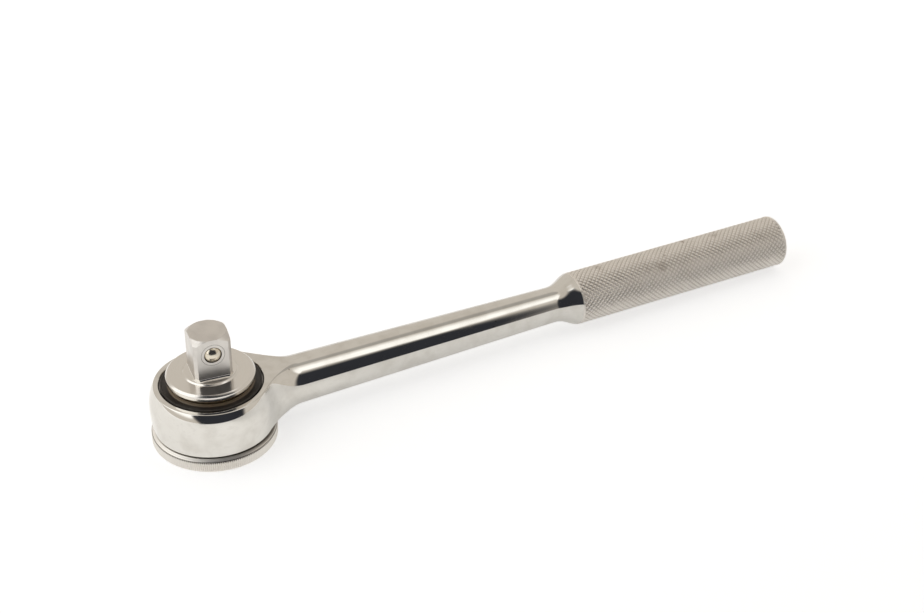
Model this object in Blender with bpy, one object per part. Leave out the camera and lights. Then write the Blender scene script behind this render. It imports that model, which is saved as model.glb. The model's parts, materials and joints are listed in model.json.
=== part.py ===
# Ratchet handle with a round head, a reversing ring and a half-inch drive square.
# The drive axis is Z, the handle lies along +X, and the reversing ring's underside is at Z = 0.
import math

import bmesh
import bpy
from mathutils import Matrix, Vector

MM = 0.001

# Gaps between pieces
FIT = 0.3 * MM              # between a piece and its seat
RUN = 0.4 * MM              # between turning pieces
TOOTH_GAP = 0.5 * MM        # from the spindle's body to the tips of the ratchet teeth

# Handle
HEAD_RADIUS = 21.05 * MM    # at the belly, the widest level of the barrel-shaped head
HEAD_THICK = 16.6 * MM
HEAD_BELLY = 9.2 * MM       # from the head's foot up to the belly
HEAD_CROWN_ROUND = 15.5 * MM    # the barrel's curve above the belly
HEAD_FLANK_ROUND = 58.0 * MM    # the barrel's curve below the belly
AXIS_DROP = 9.04 * MM       # from the head's top face down to the shank's axis
NECK_FILLET = 20.0 * MM
SHANK_ROOT_RADIUS = 9.05 * MM   # the taper carried on to the drive axis
SHANK_WAIST_RADIUS = 6.65 * MM  # the taper's thin end, at the shoulder
HANDLE_REACH = 233.0 * MM   # from the drive axis to the end of the grip
GRIP_LENGTH = 91.4 * MM
GRIP_RADIUS = 9.8 * MM
GRIP_END_ROUND = 1.2 * MM
SHOULDER_LENGTH = 8.5 * MM
BORE_EDGE_CHAMFER = 0.4 * MM

# Ratchet teeth in the head
TEETH = 36
TOOTH_DEPTH = 1.35 * MM
TOOTH_LAND = 0.35 * MM      # width of a tooth's tip, and of the floor between two teeth

# Retaining ring and dust seal
CLIP_LAND = 0.9 * MM        # metal above the retaining ring's groove
CLIP_GROOVE_DEPTH = 0.9 * MM
CLIP_THICK = 1.0 * MM
CLIP_WIDTH = 2.5 * MM
CLIP_GAP_ANGLE = 16.0
CLIP_SLACK = 0.15 * MM
SEAL_THICK = 1.0 * MM
SEAL_CHAMFER = 0.35 * MM

# Drive spindle
SPINDLE_REST = -6.5         # degrees by which the square is turned from the handle in the photograph
DRIVE_SQUARE = 12.7 * MM
DRIVE_LENGTH = 15.3 * MM
DRIVE_CORNER_RADIUS = 8.25 * MM
DRIVE_TIP_RADIUS = 6.2 * MM
DRIVE_TIP_HEIGHT = 1.6 * MM
BOSS_SPREAD = 0.8 * MM      # how far the base boss reaches past the corners of the square
BOSS_HEIGHT = 0.6 * MM
DISC_RADIUS = 14.9 * MM
DISC_THICK = 2.2 * MM
DISC_CHAMFER = 0.7 * MM
DISC_LIFT = 2.2 * MM        # from the head's top face up to the disc
COLLAR_RADIUS = 13.0 * MM
FLANGE_RADIUS = 16.9 * MM
FLANGE_THICK = 2.2 * MM
BODY_RADIUS = 14.3 * MM
TAIL_RADIUS = 5.0 * MM

# Detent ball of the square
SOCKET_BALL_RADIUS = 3.175 * MM
SOCKET_BALL_HEIGHT = 9.5 * MM   # above the boss
SOCKET_LIP_RADIUS = 2.95 * MM
SOCKET_LIP_DEPTH = 0.4 * MM
SOCKET_BACK_WALL = 1.5 * MM
SOCKET_SPRING_RADIUS = 2.3 * MM
SOCKET_SPRING_WIRE = 0.5 * MM
SOCKET_SPRING_TURNS = 4.5

# Pawls
PAWL_FIRST_TOOTH = 2        # tooth pitches from the spindle's X axis to the pawl's first tooth
PAWL_TEETH = 3
PAWL_PIVOT_ANGLE = 76.0
PAWL_BOSS_RADIUS = 2.4 * MM
PAWL_PIN_RADIUS = 1.3 * MM
PAWL_HEEL = 3.6 * MM        # thickness of the toothed end
PAWL_SWING = 13.0           # degrees from engaged to held in
PAWL_ROOF = 0.9 * MM        # metal between the pawl pocket and the flange
PAWL_PIN_GRIP = 1.6 * MM    # length of the pin inside the roof
PEG_RADIUS = 0.9 * MM
PEG_INSET = 2.7 * MM        # from the pawl's outer side to the axis of its peg
PAWL_SPRING_RADIUS = 1.2 * MM
PAWL_SPRING_WIRE = 0.45 * MM
PAWL_SPRING_PRESSED = 2.8 * MM
PAWL_SPRING_TURNS = 3.5
POCKET_RUNOUT = 4.0 * MM    # how far a pocket's cutter runs out past the spindle's body

# Reversing ring and cam plate
RING_OVERHANG = 0.15 * MM   # how far the ring stands out past the head's belly
RING_THICK = 5.0 * MM
RING_TOP_CHAMFER = 1.0 * MM
RING_FOOT_CHAMFER = 0.3 * MM
RING_FLOOR = 1.2 * MM
RING_SWING = 50.0           # degrees from one direction to the other
CAM_THICK = 2.4 * MM
CAM_TRACK_INSET = 4.5 * MM  # from the side of the spindle's body in to the dowels
DOWEL_RADIUS = 1.2 * MM
DOWEL_FLOOR = 1.5 * MM      # metal of the ring under a dowel
STOP_PIN_RADIUS = 1.2 * MM
STOP_PIN_GRIP = 5.0 * MM    # length of the pin inside the spindle
INDEX_BALL_RADIUS = 1.5 * MM
INDEX_BALL_DIP = 0.8 * MM   # how far the ball dips into the cam plate's track
INDEX_TRACK_GAP = 0.15 * MM     # from the ball down to the floor of its track
INDEX_DIMPLE_DEPTH = 0.3 * MM
INDEX_HOLE_DEPTH = 7.5 * MM
INDEX_SPRING_WIRE = 0.4 * MM
INDEX_SPRING_TURNS = 5
WIRE_CLIP_RADIUS = 0.45 * MM
WIRE_CLIP_GAP_ANGLE = 30.0

# Facets
ROUND_STEPS = 48
PIN_STEPS = 20
ARC_STEPS = 6
COIL_STEPS = 10             # points in one turn of a spring
OVERCUT = 1.0 * MM          # how far a cutter runs past the face it opens

# Levels, from the reversing ring's underside up
HEAD_FOOT = RING_THICK + RUN
HEAD_TOP = HEAD_FOOT + HEAD_THICK
BELLY_LEVEL = HEAD_FOOT + HEAD_BELLY
HANDLE_AXIS = HEAD_TOP - AXIS_DROP
CLIP_TOP = HEAD_TOP - CLIP_LAND - CLIP_SLACK
CLIP_FOOT = CLIP_TOP - CLIP_THICK
FLANGE_TOP = CLIP_FOOT - FIT
FLANGE_FOOT = FLANGE_TOP - FLANGE_THICK
TOOTH_TOP = FLANGE_FOOT - FIT
SEAL_FOOT = CLIP_TOP + FIT
DISC_FOOT = HEAD_TOP + DISC_LIFT
DISC_TOP = DISC_FOOT + DISC_THICK
BOSS_TOP = DISC_TOP + BOSS_HEIGHT
DRIVE_TOP = BOSS_TOP + DRIVE_LENGTH
CAM_FOOT = RING_THICK + FIT
CAM_TOP = CAM_FOOT + CAM_THICK
BODY_FOOT = CAM_TOP + FIT
PAWL_FOOT = BODY_FOOT + FIT
PAWL_TOP = FLANGE_FOOT - PAWL_ROOF - FIT
TAIL_FOOT = RING_FLOOR + FIT
WIRE_CLIP_LEVEL = (TAIL_FOOT + RING_THICK) / 2

# Radii and angles that follow from the sizes
TOOTH_PITCH = 360.0 / TEETH
TOOTH_TIP_RADIUS = BODY_RADIUS + TOOTH_GAP
RING_RADIUS = HEAD_RADIUS + RING_OVERHANG
CAM_TRACK_RADIUS = BODY_RADIUS - CAM_TRACK_INSET
TOOTH_ROOT_RADIUS = TOOTH_TIP_RADIUS + TOOTH_DEPTH
BORE_RADIUS = FLANGE_RADIUS + FIT
SHOULDER_END = HANDLE_REACH - GRIP_LENGTH
SHOULDER_START = SHOULDER_END - SHOULDER_LENGTH
PAWL_BACK_RADIUS = TOOTH_TIP_RADIUS - RUN
PAWL_PIVOT_RADIUS = PAWL_BACK_RADIUS - PAWL_BOSS_RADIUS
CAM_RADIUS = TOOTH_TIP_RADIUS - RUN
CAM_HOLE_RADIUS = TAIL_RADIUS + FIT
PEG_ROOM = PEG_RADIUS + FIT


def polar(radius, degrees):
    angle = math.radians(degrees)
    return Vector((radius * math.cos(angle), radius * math.sin(angle)))


def turned(point, degrees, centre=(0, 0)):
    centre = Vector(centre)
    return centre + Matrix.Rotation(math.radians(degrees), 2) @ (Vector(point) - centre)


def mirrored(points):
    return [Vector((p.x, -p.y)) for p in reversed(points)]


def arc(centre, radius, start, end, steps):
    return [Vector(centre) + polar(radius, start + (end - start) * k / steps) for k in range(steps + 1)]


def blend(start, end, share):
    return start + (end - start) * share


def ease(share):
    share = min(max(share, 0.0), 1.0)
    return share * share * (3 - 2 * share)


# Mesh builders

def finished(bm, sharp_angle=35.0):
    bmesh.ops.remove_doubles(bm, verts=bm.verts, dist=0.001 * MM)
    bmesh.ops.recalc_face_normals(bm, faces=bm.faces)
    mesh = bpy.data.meshes.new("form")
    bm.to_mesh(mesh)
    bm.free()
    mesh.shade_smooth()
    mesh.set_sharp_from_angle(angle=math.radians(sharp_angle))
    return mesh


def revolved(profile, steps=ROUND_STEPS, closed=False):
    # Turns (radius, height) points about Z. A point on the axis becomes a pole.
    bm = bmesh.new()
    rings = []
    for radius, height in profile:
        count = steps if radius > 0 else 1
        rings.append([bm.verts.new((*polar(radius, 360 * k / count), height)) for k in range(count)])
    pairs = list(zip(rings, rings[1:]))
    if closed:
        pairs.append((rings[-1], rings[0]))
    for upper, lower in pairs:
        for k in range(steps):
            corners = [upper[k % len(upper)], upper[(k + 1) % len(upper)]]
            corners += [lower[(k + 1) % len(lower)], lower[k % len(lower)]]
            bm.faces.new(list(dict.fromkeys(corners)))
    return finished(bm)


def prism(outline, foot, top):
    bm = bmesh.new()
    face = bm.faces.new([bm.verts.new((p[0], p[1], foot)) for p in outline])
    grown = bmesh.ops.extrude_face_region(bm, geom=[face])
    risen = [v for v in grown["geom"] if isinstance(v, bmesh.types.BMVert)]
    bmesh.ops.translate(bm, verts=risen, vec=(0, 0, top - foot))
    return finished(bm)


def post(radius, foot, top, centre=(0, 0), steps=PIN_STEPS):
    return prism(arc(centre, radius, 0, 360 * (steps - 1) / steps, steps - 1), foot, top)


def ball(radius):
    bm = bmesh.new()
    bmesh.ops.create_uvsphere(bm, u_segments=PIN_STEPS, v_segments=PIN_STEPS // 2, radius=radius)
    return finished(bm)


def tube(name, points, radius):
    # One round wire along the points, with closed ends.
    curve = bpy.data.curves.new(name, "CURVE")
    curve.dimensions = "3D"
    curve.bevel_depth = radius
    curve.bevel_resolution = 1
    curve.use_fill_caps = True
    spline = curve.splines.new("POLY")
    spline.points.add(len(points) - 1)
    for place, point in zip(spline.points, points):
        place.co = (*point, 1)
    return curve


def coil(name, radius, wire, length, turns):
    # A spring that starts at its origin and runs along +Z.
    count = round(turns * COIL_STEPS)
    rise = length - wire
    points = []
    for k in range(count + 1):
        x, y = polar(radius, 360 * turns * k / count)
        points.append((x, y, wire / 2 + rise * k / count))
    return tube(name, points, wire / 2)


# Scene objects

def material(name, color, roughness, metallic):
    made = bpy.data.materials.new(name)
    made.use_nodes = True
    shader = made.node_tree.nodes["Principled BSDF"]
    shader.inputs["Base Color"].default_value = (*color, 1)
    shader.inputs["Roughness"].default_value = roughness
    shader.inputs["Metallic"].default_value = metallic
    return made


def placed(name, data, finish=None, parent=None, location=(0, 0, 0), turn=0.0):
    item = bpy.data.objects.new(name, data)
    bpy.context.scene.collection.objects.link(item)
    item.parent = parent
    item.location = location
    item.rotation_euler.z = math.radians(turn)
    if finish:
        data.materials.append(finish)
    return item


def aimed(item, direction):
    item.rotation_euler = Vector(direction).to_track_quat("Z", "Y").to_euler()
    return item


def combine(target, tool, operation):
    tool.hide_render = True
    tool.display_type = "WIRE"
    step = target.modifiers.new(tool.name, "BOOLEAN")
    step.operation = operation
    step.object = tool


def cut(target, name, data, **place):
    tool = placed(name, data, parent=target.parent, **place)
    combine(target, tool, "DIFFERENCE")
    return tool


# Handle

def side_profile(point, outward, level, crown, flank):
    # Points from the top face, over the crown to the widest level and down the flank to the underside.
    # crown and flank are (radius of the arc, height of the flat face that it ends at).
    points = []
    for radius, face, shares in (
        (*crown, [1 - k / ARC_STEPS for k in range(ARC_STEPS + 1)]),
        (*flank, [(k + 1) / ARC_STEPS for k in range(ARC_STEPS)]),
    ):
        opening = math.asin(max(-1.0, min(1.0, (face - level) / radius)))
        for share in shares:
            angle = opening * share
            inset = Vector(outward) * radius * (math.cos(angle) - 1)
            points.append((*(Vector(point) + inset), level + radius * math.sin(angle)))
    return points


def round_profile(x, radius):
    crown = (radius, HANDLE_AXIS + radius)
    flank = (radius, HANDLE_AXIS - radius)
    return side_profile((x, radius), (0, 1), HANDLE_AXIS, crown, flank)


def bar_profiles():
    # The round bar from the end of the grip to the thin end of the shank.
    profiles = []
    for edge in arc((HANDLE_REACH - GRIP_END_ROUND, 0), GRIP_END_ROUND, 0, 90, ARC_STEPS // 2):
        profiles.append(round_profile(edge.x, GRIP_RADIUS - GRIP_END_ROUND + edge.y))
    steps = 2 * ARC_STEPS
    for k in range(steps + 1):
        share = k / steps
        radius = blend(GRIP_RADIUS, SHANK_WAIST_RADIUS, ease(share))
        profiles.append(round_profile(blend(SHOULDER_END, SHOULDER_START, share), radius))
    return profiles


def neck_profiles():
    # A fillet from the shank's side to the head's wall, seen from above.
    # The round section turns into the head's section on the way.
    taper = math.atan2(SHANK_ROOT_RADIUS - SHANK_WAIST_RADIUS, SHOULDER_START)
    outward = Vector((math.sin(taper), math.cos(taper)))
    along = Vector((outward.y, -outward.x))
    lift = SHANK_ROOT_RADIUS * math.cos(taper) + NECK_FILLET
    reach = HEAD_RADIUS + NECK_FILLET
    centre = outward * lift + along * math.sqrt(reach ** 2 - lift ** 2)
    start = -90 - math.degrees(taper)
    end = math.degrees(math.atan2(centre.y, centre.x)) - 180
    steps = 2 * ARC_STEPS
    first = centre + polar(NECK_FILLET, start)
    profiles = [round_profile(first.x, first.y)]
    for k in range(1, steps + 1):
        share = k / steps
        spoke = polar(1, blend(start, end, share))
        point = centre + spoke * NECK_FILLET
        near = ease(share)
        level = blend(HANDLE_AXIS, BELLY_LEVEL, near)
        crown_radius = blend(point.y, HEAD_CROWN_ROUND, near)
        flank_radius = point.y * (HEAD_FLANK_ROUND / point.y) ** near
        top = blend(HANDLE_AXIS + first.y, HEAD_TOP, ease(2 * share))
        low = blend(HANDLE_AXIS - first.y, HEAD_FOOT, ease(2 * share))
        profiles.append(side_profile(point, -spoke, level, (crown_radius, top), (flank_radius, low)))
    return profiles, end + 180


def head_profiles(start):
    crown = (HEAD_CROWN_ROUND, HEAD_TOP)
    flank = (HEAD_FLANK_ROUND, HEAD_FOOT)
    steps = ROUND_STEPS // 3
    profiles = []
    for k in range(1, steps + 1):
        outward = polar(1, blend(start, 180, k / steps))
        profiles.append(side_profile(outward * HEAD_RADIUS, outward, BELLY_LEVEL, crown, flank))
    return profiles


def handle_form():
    bar = bar_profiles()
    neck, head_start = neck_profiles()
    near = bar + neck + head_profiles(head_start)
    bm = bmesh.new()
    left = [[bm.verts.new(p) for p in column] for column in near]
    right = [[bm.verts.new((x, -y, z)) for x, y, z in column] for column in near]
    for side in (left, right):
        for first, second in zip(side, side[1:]):
            for k in range(len(first) - 1):
                bm.faces.new((first[k], first[k + 1], second[k + 1], second[k]))
    bm.faces.new(left[0] + right[0][::-1])
    head = len(bar) + len(neck) - 1
    for k in range(len(bar), head):
        for row in (0, -1):
            bm.faces.new((left[k][row], left[k + 1][row], right[k + 1][row], right[k][row]))
    for row in (0, -1):
        rim = [column[row] for column in left[head:]]
        rim += [column[row] for column in reversed(right[head:-1])]
        bm.faces.new(rim)
    return finished(bm)


def tooth_outline():
    # The head's toothed bore, with a space centred on each pitch.
    floor = math.degrees(TOOTH_LAND / 2 / TOOTH_ROOT_RADIUS)
    mouth = TOOTH_PITCH / 2 - math.degrees(TOOTH_LAND / 2 / TOOTH_TIP_RADIUS)
    outline = []
    for k in range(TEETH):
        centre = k * TOOTH_PITCH
        outline.append(polar(TOOTH_TIP_RADIUS, centre - mouth))
        outline.append(polar(TOOTH_ROOT_RADIUS, centre - floor))
        outline.append(polar(TOOTH_ROOT_RADIUS, centre + floor))
        outline.append(polar(TOOTH_TIP_RADIUS, centre + mouth))
    return outline


def make_handle(finish):
    handle = placed("handle", handle_form(), finish)
    open_top = HEAD_TOP + OVERCUT
    groove_radius = BORE_RADIUS + CLIP_GROOVE_DEPTH
    edge = BORE_RADIUS + BORE_EDGE_CHAMFER
    bore = [
        (0, open_top),
        (edge + OVERCUT, open_top),
        (BORE_RADIUS, HEAD_TOP - BORE_EDGE_CHAMFER),
        (BORE_RADIUS, CLIP_TOP + CLIP_SLACK),
        (groove_radius, CLIP_TOP + CLIP_SLACK),
        (groove_radius, CLIP_FOOT - CLIP_SLACK),
        (BORE_RADIUS, CLIP_FOOT - CLIP_SLACK),
        (BORE_RADIUS, TOOTH_TOP),
        (0, TOOTH_TOP),
    ]
    cut(handle, "bore_cutter", revolved(bore))
    teeth = prism(tooth_outline(), HEAD_FOOT - OVERCUT, TOOTH_TOP + FLANGE_THICK / 2)
    cut(handle, "tooth_cutter", teeth, turn=SPINDLE_REST)
    return handle


def make_retaining_ring(finish):
    outer = BORE_RADIUS + CLIP_GROOVE_DEPTH - FIT
    half_gap = CLIP_GAP_ANGLE / 2
    outline = arc((0, 0), outer, half_gap, 360 - half_gap, ROUND_STEPS)
    outline += arc((0, 0), outer - CLIP_WIDTH, 360 - half_gap, half_gap, ROUND_STEPS)
    return placed("retaining_ring", prism(outline, CLIP_FOOT, CLIP_TOP), finish)


def make_dust_seal(finish):
    inner = COLLAR_RADIUS + FIT
    outer = BORE_RADIUS - FIT
    top = SEAL_FOOT + SEAL_THICK
    profile = [
        (inner + SEAL_CHAMFER, top),
        (outer - SEAL_CHAMFER, top),
        (outer, top - SEAL_CHAMFER),
        (outer, SEAL_FOOT),
        (inner, SEAL_FOOT),
        (inner, top - SEAL_CHAMFER),
    ]
    return placed("dust_seal", revolved(profile, closed=True), finish)


# Pawls, drawn for the left side in the spindle's frame and in the engaged position

PIVOT = polar(PAWL_PIVOT_RADIUS, PAWL_PIVOT_ANGLE)


def pawl_tooth_halves():
    # Half widths of a pawl tooth at its foot and at its tip, a gap inside the space that it enters.
    floor = TOOTH_LAND / 2
    mouth = math.radians(TOOTH_PITCH / 2) * TOOTH_TIP_RADIUS - floor
    slope = (mouth - floor) / TOOTH_DEPTH
    narrowing = FIT * math.sqrt(1 + slope ** 2)
    foot = mouth - narrowing + slope * RUN
    return foot, foot - slope * (RUN + TOOTH_DEPTH - FIT)


def pawl_heel():
    first = PAWL_FIRST_TOOTH * TOOTH_PITCH
    return polar(PAWL_BACK_RADIUS - PAWL_HEEL, first - TOOTH_PITCH / 2)


def pawl_inner_normal():
    # Angle of the side that faces the drive axis: a tangent from the heel to the boss.
    run = pawl_heel() - PIVOT
    lean = math.degrees(math.asin(PAWL_BOSS_RADIUS / run.length))
    return math.degrees(math.atan2(run.y, run.x)) - 90 - lean


def pawl_outline():
    foot, tip = pawl_tooth_halves()
    tip = max(tip, TOOTH_LAND / 4)
    foot_angle = math.degrees(foot / PAWL_BACK_RADIUS)
    tip_radius = TOOTH_ROOT_RADIUS - FIT
    tip_angle = math.degrees(tip / tip_radius)
    outline = [pawl_heel()]
    for k in range(PAWL_TEETH):
        centre = (PAWL_FIRST_TOOTH + k) * TOOTH_PITCH
        outline.append(polar(PAWL_BACK_RADIUS, centre - foot_angle))
        outline.append(polar(tip_radius, centre - tip_angle))
        outline.append(polar(tip_radius, centre + tip_angle))
        outline.append(polar(PAWL_BACK_RADIUS, centre + foot_angle))
    inner = pawl_inner_normal() % 360
    outline += arc(PIVOT, PAWL_BOSS_RADIUS, PAWL_PIVOT_ANGLE, inner, 2 * ARC_STEPS)
    return outline


def peg_place():
    middle = (PAWL_FIRST_TOOTH + (PAWL_TEETH - 1) / 2) * TOOTH_PITCH
    return polar(PAWL_BACK_RADIUS - PEG_INSET, middle)


def pocket_outline():
    # Room for the pawl from engaged to held in, open to the outside of the spindle's body.
    held_in = [turned(p, -PAWL_SWING, PIVOT) for p in pawl_outline()]
    end = min(p.y for p in held_in) - FIT
    normal = pawl_inner_normal() - PAWL_SWING
    corner = turned(pawl_heel(), -PAWL_SWING, PIVOT) + polar(FIT, normal)
    outside = BODY_RADIUS + POCKET_RUNOUT
    mouth = math.degrees(math.asin(end / outside))
    outline = [Vector((corner.x, end))]
    outline += arc((0, 0), outside, mouth, PAWL_PIVOT_ANGLE, ARC_STEPS // 2)
    outline += arc(PIVOT, PAWL_BOSS_RADIUS + FIT, PAWL_PIVOT_ANGLE, normal % 360, 2 * ARC_STEPS)
    outline.append(corner)
    return outline


def pawl_spring_line():
    # The spring's seat in the spindle, its direction, and its length with the pawl engaged.
    normal = pawl_inner_normal()
    tangent = PIVOT + polar(PAWL_BOSS_RADIUS, normal)
    middle = (tangent + pawl_heel()) / 2
    direction = polar(1, normal - PAWL_SWING / 2 + 180)
    held_normal = polar(1, normal - PAWL_SWING)
    held_edge = turned(tangent, -PAWL_SWING, PIVOT)
    travel = (middle - held_edge).dot(held_normal) / direction.dot(held_normal)
    coil_edge = PAWL_SPRING_RADIUS + PAWL_SPRING_WIRE / 2
    tip_gap = FIT + coil_edge * math.tan(math.radians(PAWL_SWING / 2))
    seat = middle - direction * (travel + tip_gap + PAWL_SPRING_PRESSED + FIT)
    return seat, direction, PAWL_SPRING_PRESSED + travel


def make_pawl(side, finish, axis):
    # The left pawl rests engaged, and the right one rests held in by the cam.
    flip = 1 if side == "left" else -1
    sign = Matrix.Diagonal((1, flip))
    outline = [sign @ (p - PIVOT) for p in pawl_outline()]
    pivot = sign @ PIVOT
    peg = sign @ (peg_place() - PIVOT)
    turn = 0 if side == "left" else PAWL_SWING
    pawl = placed(
        f"pawl_{side}",
        prism(outline, PAWL_FOOT, PAWL_TOP),
        finish,
        axis,
        (pivot.x, pivot.y, 0),
        turn,
    )
    peg_form = post(PEG_RADIUS, CAM_FOOT + FIT, PAWL_FOOT + PEG_RADIUS, peg)
    peg_tool = placed(f"peg_form_{side}", peg_form, None, axis, pawl.location, turn)
    combine(pawl, peg_tool, "UNION")
    hole = post(PAWL_PIN_RADIUS + FIT, PAWL_FOOT - OVERCUT, PAWL_TOP + OVERCUT)
    cut(pawl, f"pawl_hole_{side}", hole, location=pawl.location)
    return pawl


def make_pawl_pin(side, finish, axis):
    flip = 1 if side == "left" else -1
    pin = post(PAWL_PIN_RADIUS, PAWL_FOOT, PAWL_TOP + FIT + PAWL_PIN_GRIP)
    return placed(f"pawl_pin_{side}", pin, finish, axis, (PIVOT.x, flip * PIVOT.y, 0))


def make_pawl_spring(side, finish, axis):
    flip = 1 if side == "left" else -1
    seat, direction, engaged_length = pawl_spring_line()
    length = engaged_length if side == "left" else PAWL_SPRING_PRESSED
    start = seat + direction * FIT
    form = coil(f"pawl_spring_{side}", PAWL_SPRING_RADIUS, PAWL_SPRING_WIRE, length, PAWL_SPRING_TURNS)
    level = (PAWL_FOOT + PAWL_TOP) / 2
    spring = placed(form.name, form, finish, axis, (start.x, flip * start.y, level))
    return aimed(spring, (direction.x, flip * direction.y, 0))


# Cam plate, drawn in the reversing ring's frame with the ring at rest

def peg_path():
    # The left peg's centre, seen from the cam plate, as the ring turns from one end to the other.
    steps = 2 * ARC_STEPS
    path = []
    for k in range(steps + 1):
        share = k / steps
        moved = turned(peg_place(), -PAWL_SWING * share, PIVOT)
        path.append(turned(moved, -RING_SWING * share))
    return path


def angle_of(point):
    return math.degrees(math.atan2(point.y, point.x))


def cam_layout():
    # Places of the features round the plate, with equal webs between them.
    peg_half = math.degrees(math.asin(PEG_ROOM / peg_place().length))
    window_end = angle_of(peg_place()) + peg_half
    window_start = 360 - window_end - RING_SWING
    hole_half = math.degrees(math.asin((DOWEL_RADIUS + FIT) / CAM_TRACK_RADIUS))
    stop_half = math.degrees(math.asin((STOP_PIN_RADIUS + FIT) / CAM_TRACK_RADIUS))
    track_half = math.degrees(math.asin(index_track_half() / CAM_TRACK_RADIUS))
    used = 4 * hole_half + 2 * stop_half + 2 * track_half + 2 * RING_SWING
    web = (window_start - window_end - used) / 5
    first_dowel = window_end + web + hole_half
    index = first_dowel + hole_half + web + track_half + RING_SWING
    stop = index + track_half + web + stop_half + RING_SWING
    second_dowel = stop + stop_half + web + hole_half
    return {"dowels": (first_dowel, second_dowel), "index": index, "stop": stop}


def index_track_half():
    height = INDEX_BALL_RADIUS - INDEX_BALL_DIP
    return math.sqrt(INDEX_BALL_RADIUS ** 2 - height ** 2) + FIT


def cam_window():
    # The nose in the middle holds a pawl in. On either side of it a peg is free to move out.
    path = peg_path()
    outer = [p * (1 + PEG_ROOM / p.length) for p in path]
    beyond = angle_of(path[0]) + math.degrees(math.asin(PEG_ROOM / path[0].length))
    outer.insert(0, polar(outer[0].length, beyond))
    middle = -RING_SWING / 2
    other = [turned(Vector((p.x, -p.y)), 2 * middle) for p in reversed(outer)]
    inner = min(p.length for p in path) - PEG_ROOM
    ends = (2 * middle - beyond, beyond)
    return outer + other + arc((0, 0), inner, *ends, 3 * ARC_STEPS)


def curved_slot(radius, half_width, start, end, foot, top):
    outline = arc((0, 0), radius + half_width, start, end, 2 * ARC_STEPS)
    outline += arc(polar(radius, end), half_width, end, end + 180, ARC_STEPS)[1:-1]
    outline += arc((0, 0), radius - half_width, end, start, 2 * ARC_STEPS)
    outline += arc(polar(radius, start), half_width, start + 180, start + 360, ARC_STEPS)[1:-1]
    return prism(outline, foot, top)


def make_cam_plate(finish, axis):
    layout = cam_layout()
    profile = [
        (CAM_HOLE_RADIUS, CAM_TOP),
        (CAM_RADIUS, CAM_TOP),
        (CAM_RADIUS, CAM_FOOT),
        (CAM_HOLE_RADIUS, CAM_FOOT),
    ]
    plate = placed("cam_plate", revolved(profile, closed=True), finish, axis)
    foot = CAM_FOOT - OVERCUT
    top = CAM_TOP + OVERCUT
    cut(plate, "cam_window", prism(cam_window(), foot, top))
    stop = layout["stop"]
    half = STOP_PIN_RADIUS + FIT
    cut(plate, "stop_slot", curved_slot(CAM_TRACK_RADIUS, half, stop - RING_SWING, stop, foot, top))
    index = layout["index"]
    floor = CAM_TOP - INDEX_BALL_DIP - INDEX_TRACK_GAP
    track = curved_slot(CAM_TRACK_RADIUS, index_track_half(), index - RING_SWING, index, floor, top)
    cut(plate, "index_track", track)
    for number, angle in enumerate((index - RING_SWING, index), 1):
        place = polar(CAM_TRACK_RADIUS, angle)
        dimple = post(index_track_half() / 2, floor - INDEX_DIMPLE_DEPTH, top, place)
        cut(plate, f"index_dimple_{number}", dimple)
    for number, angle in enumerate(layout["dowels"], 1):
        hole = post(DOWEL_RADIUS + FIT, foot, top, polar(CAM_TRACK_RADIUS, angle))
        cut(plate, f"cam_dowel_hole_{number}", hole)
    return plate


def make_cam_dowels(finish, axis):
    for number, angle in enumerate(cam_layout()["dowels"], 1):
        place = polar(CAM_TRACK_RADIUS, angle)
        dowel = post(DOWEL_RADIUS, DOWEL_FLOOR + FIT, CAM_TOP)
        placed(f"cam_dowel_{number}", dowel, finish, axis, (place.x, place.y, 0))


def make_reversing_ring(finish, axis):
    bore = TAIL_RADIUS + FIT
    groove_half = WIRE_CLIP_RADIUS + FIT
    groove = bore + WIRE_CLIP_RADIUS
    profile = [
        (bore, RING_THICK),
        (RING_RADIUS - RING_TOP_CHAMFER, RING_THICK),
        (RING_RADIUS, RING_THICK - RING_TOP_CHAMFER),
        (RING_RADIUS, RING_FOOT_CHAMFER),
        (RING_RADIUS - RING_FOOT_CHAMFER, 0),
        (0, 0),
    ]
    bore_profile = [
        (0, RING_FLOOR),
        (bore, RING_FLOOR),
        (bore, WIRE_CLIP_LEVEL - groove_half),
        (groove, WIRE_CLIP_LEVEL - groove_half),
        (groove, WIRE_CLIP_LEVEL + groove_half),
        (bore, WIRE_CLIP_LEVEL + groove_half),
    ]
    ring = placed("reversing_ring", revolved(bore_profile + profile), finish, axis)
    for number, angle in enumerate(cam_layout()["dowels"], 1):
        place = polar(CAM_TRACK_RADIUS, angle)
        hole = post(DOWEL_RADIUS + FIT, DOWEL_FLOOR, RING_THICK + OVERCUT, place)
        cut(ring, f"ring_dowel_hole_{number}", hole)
    return ring


# Drive spindle

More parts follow.
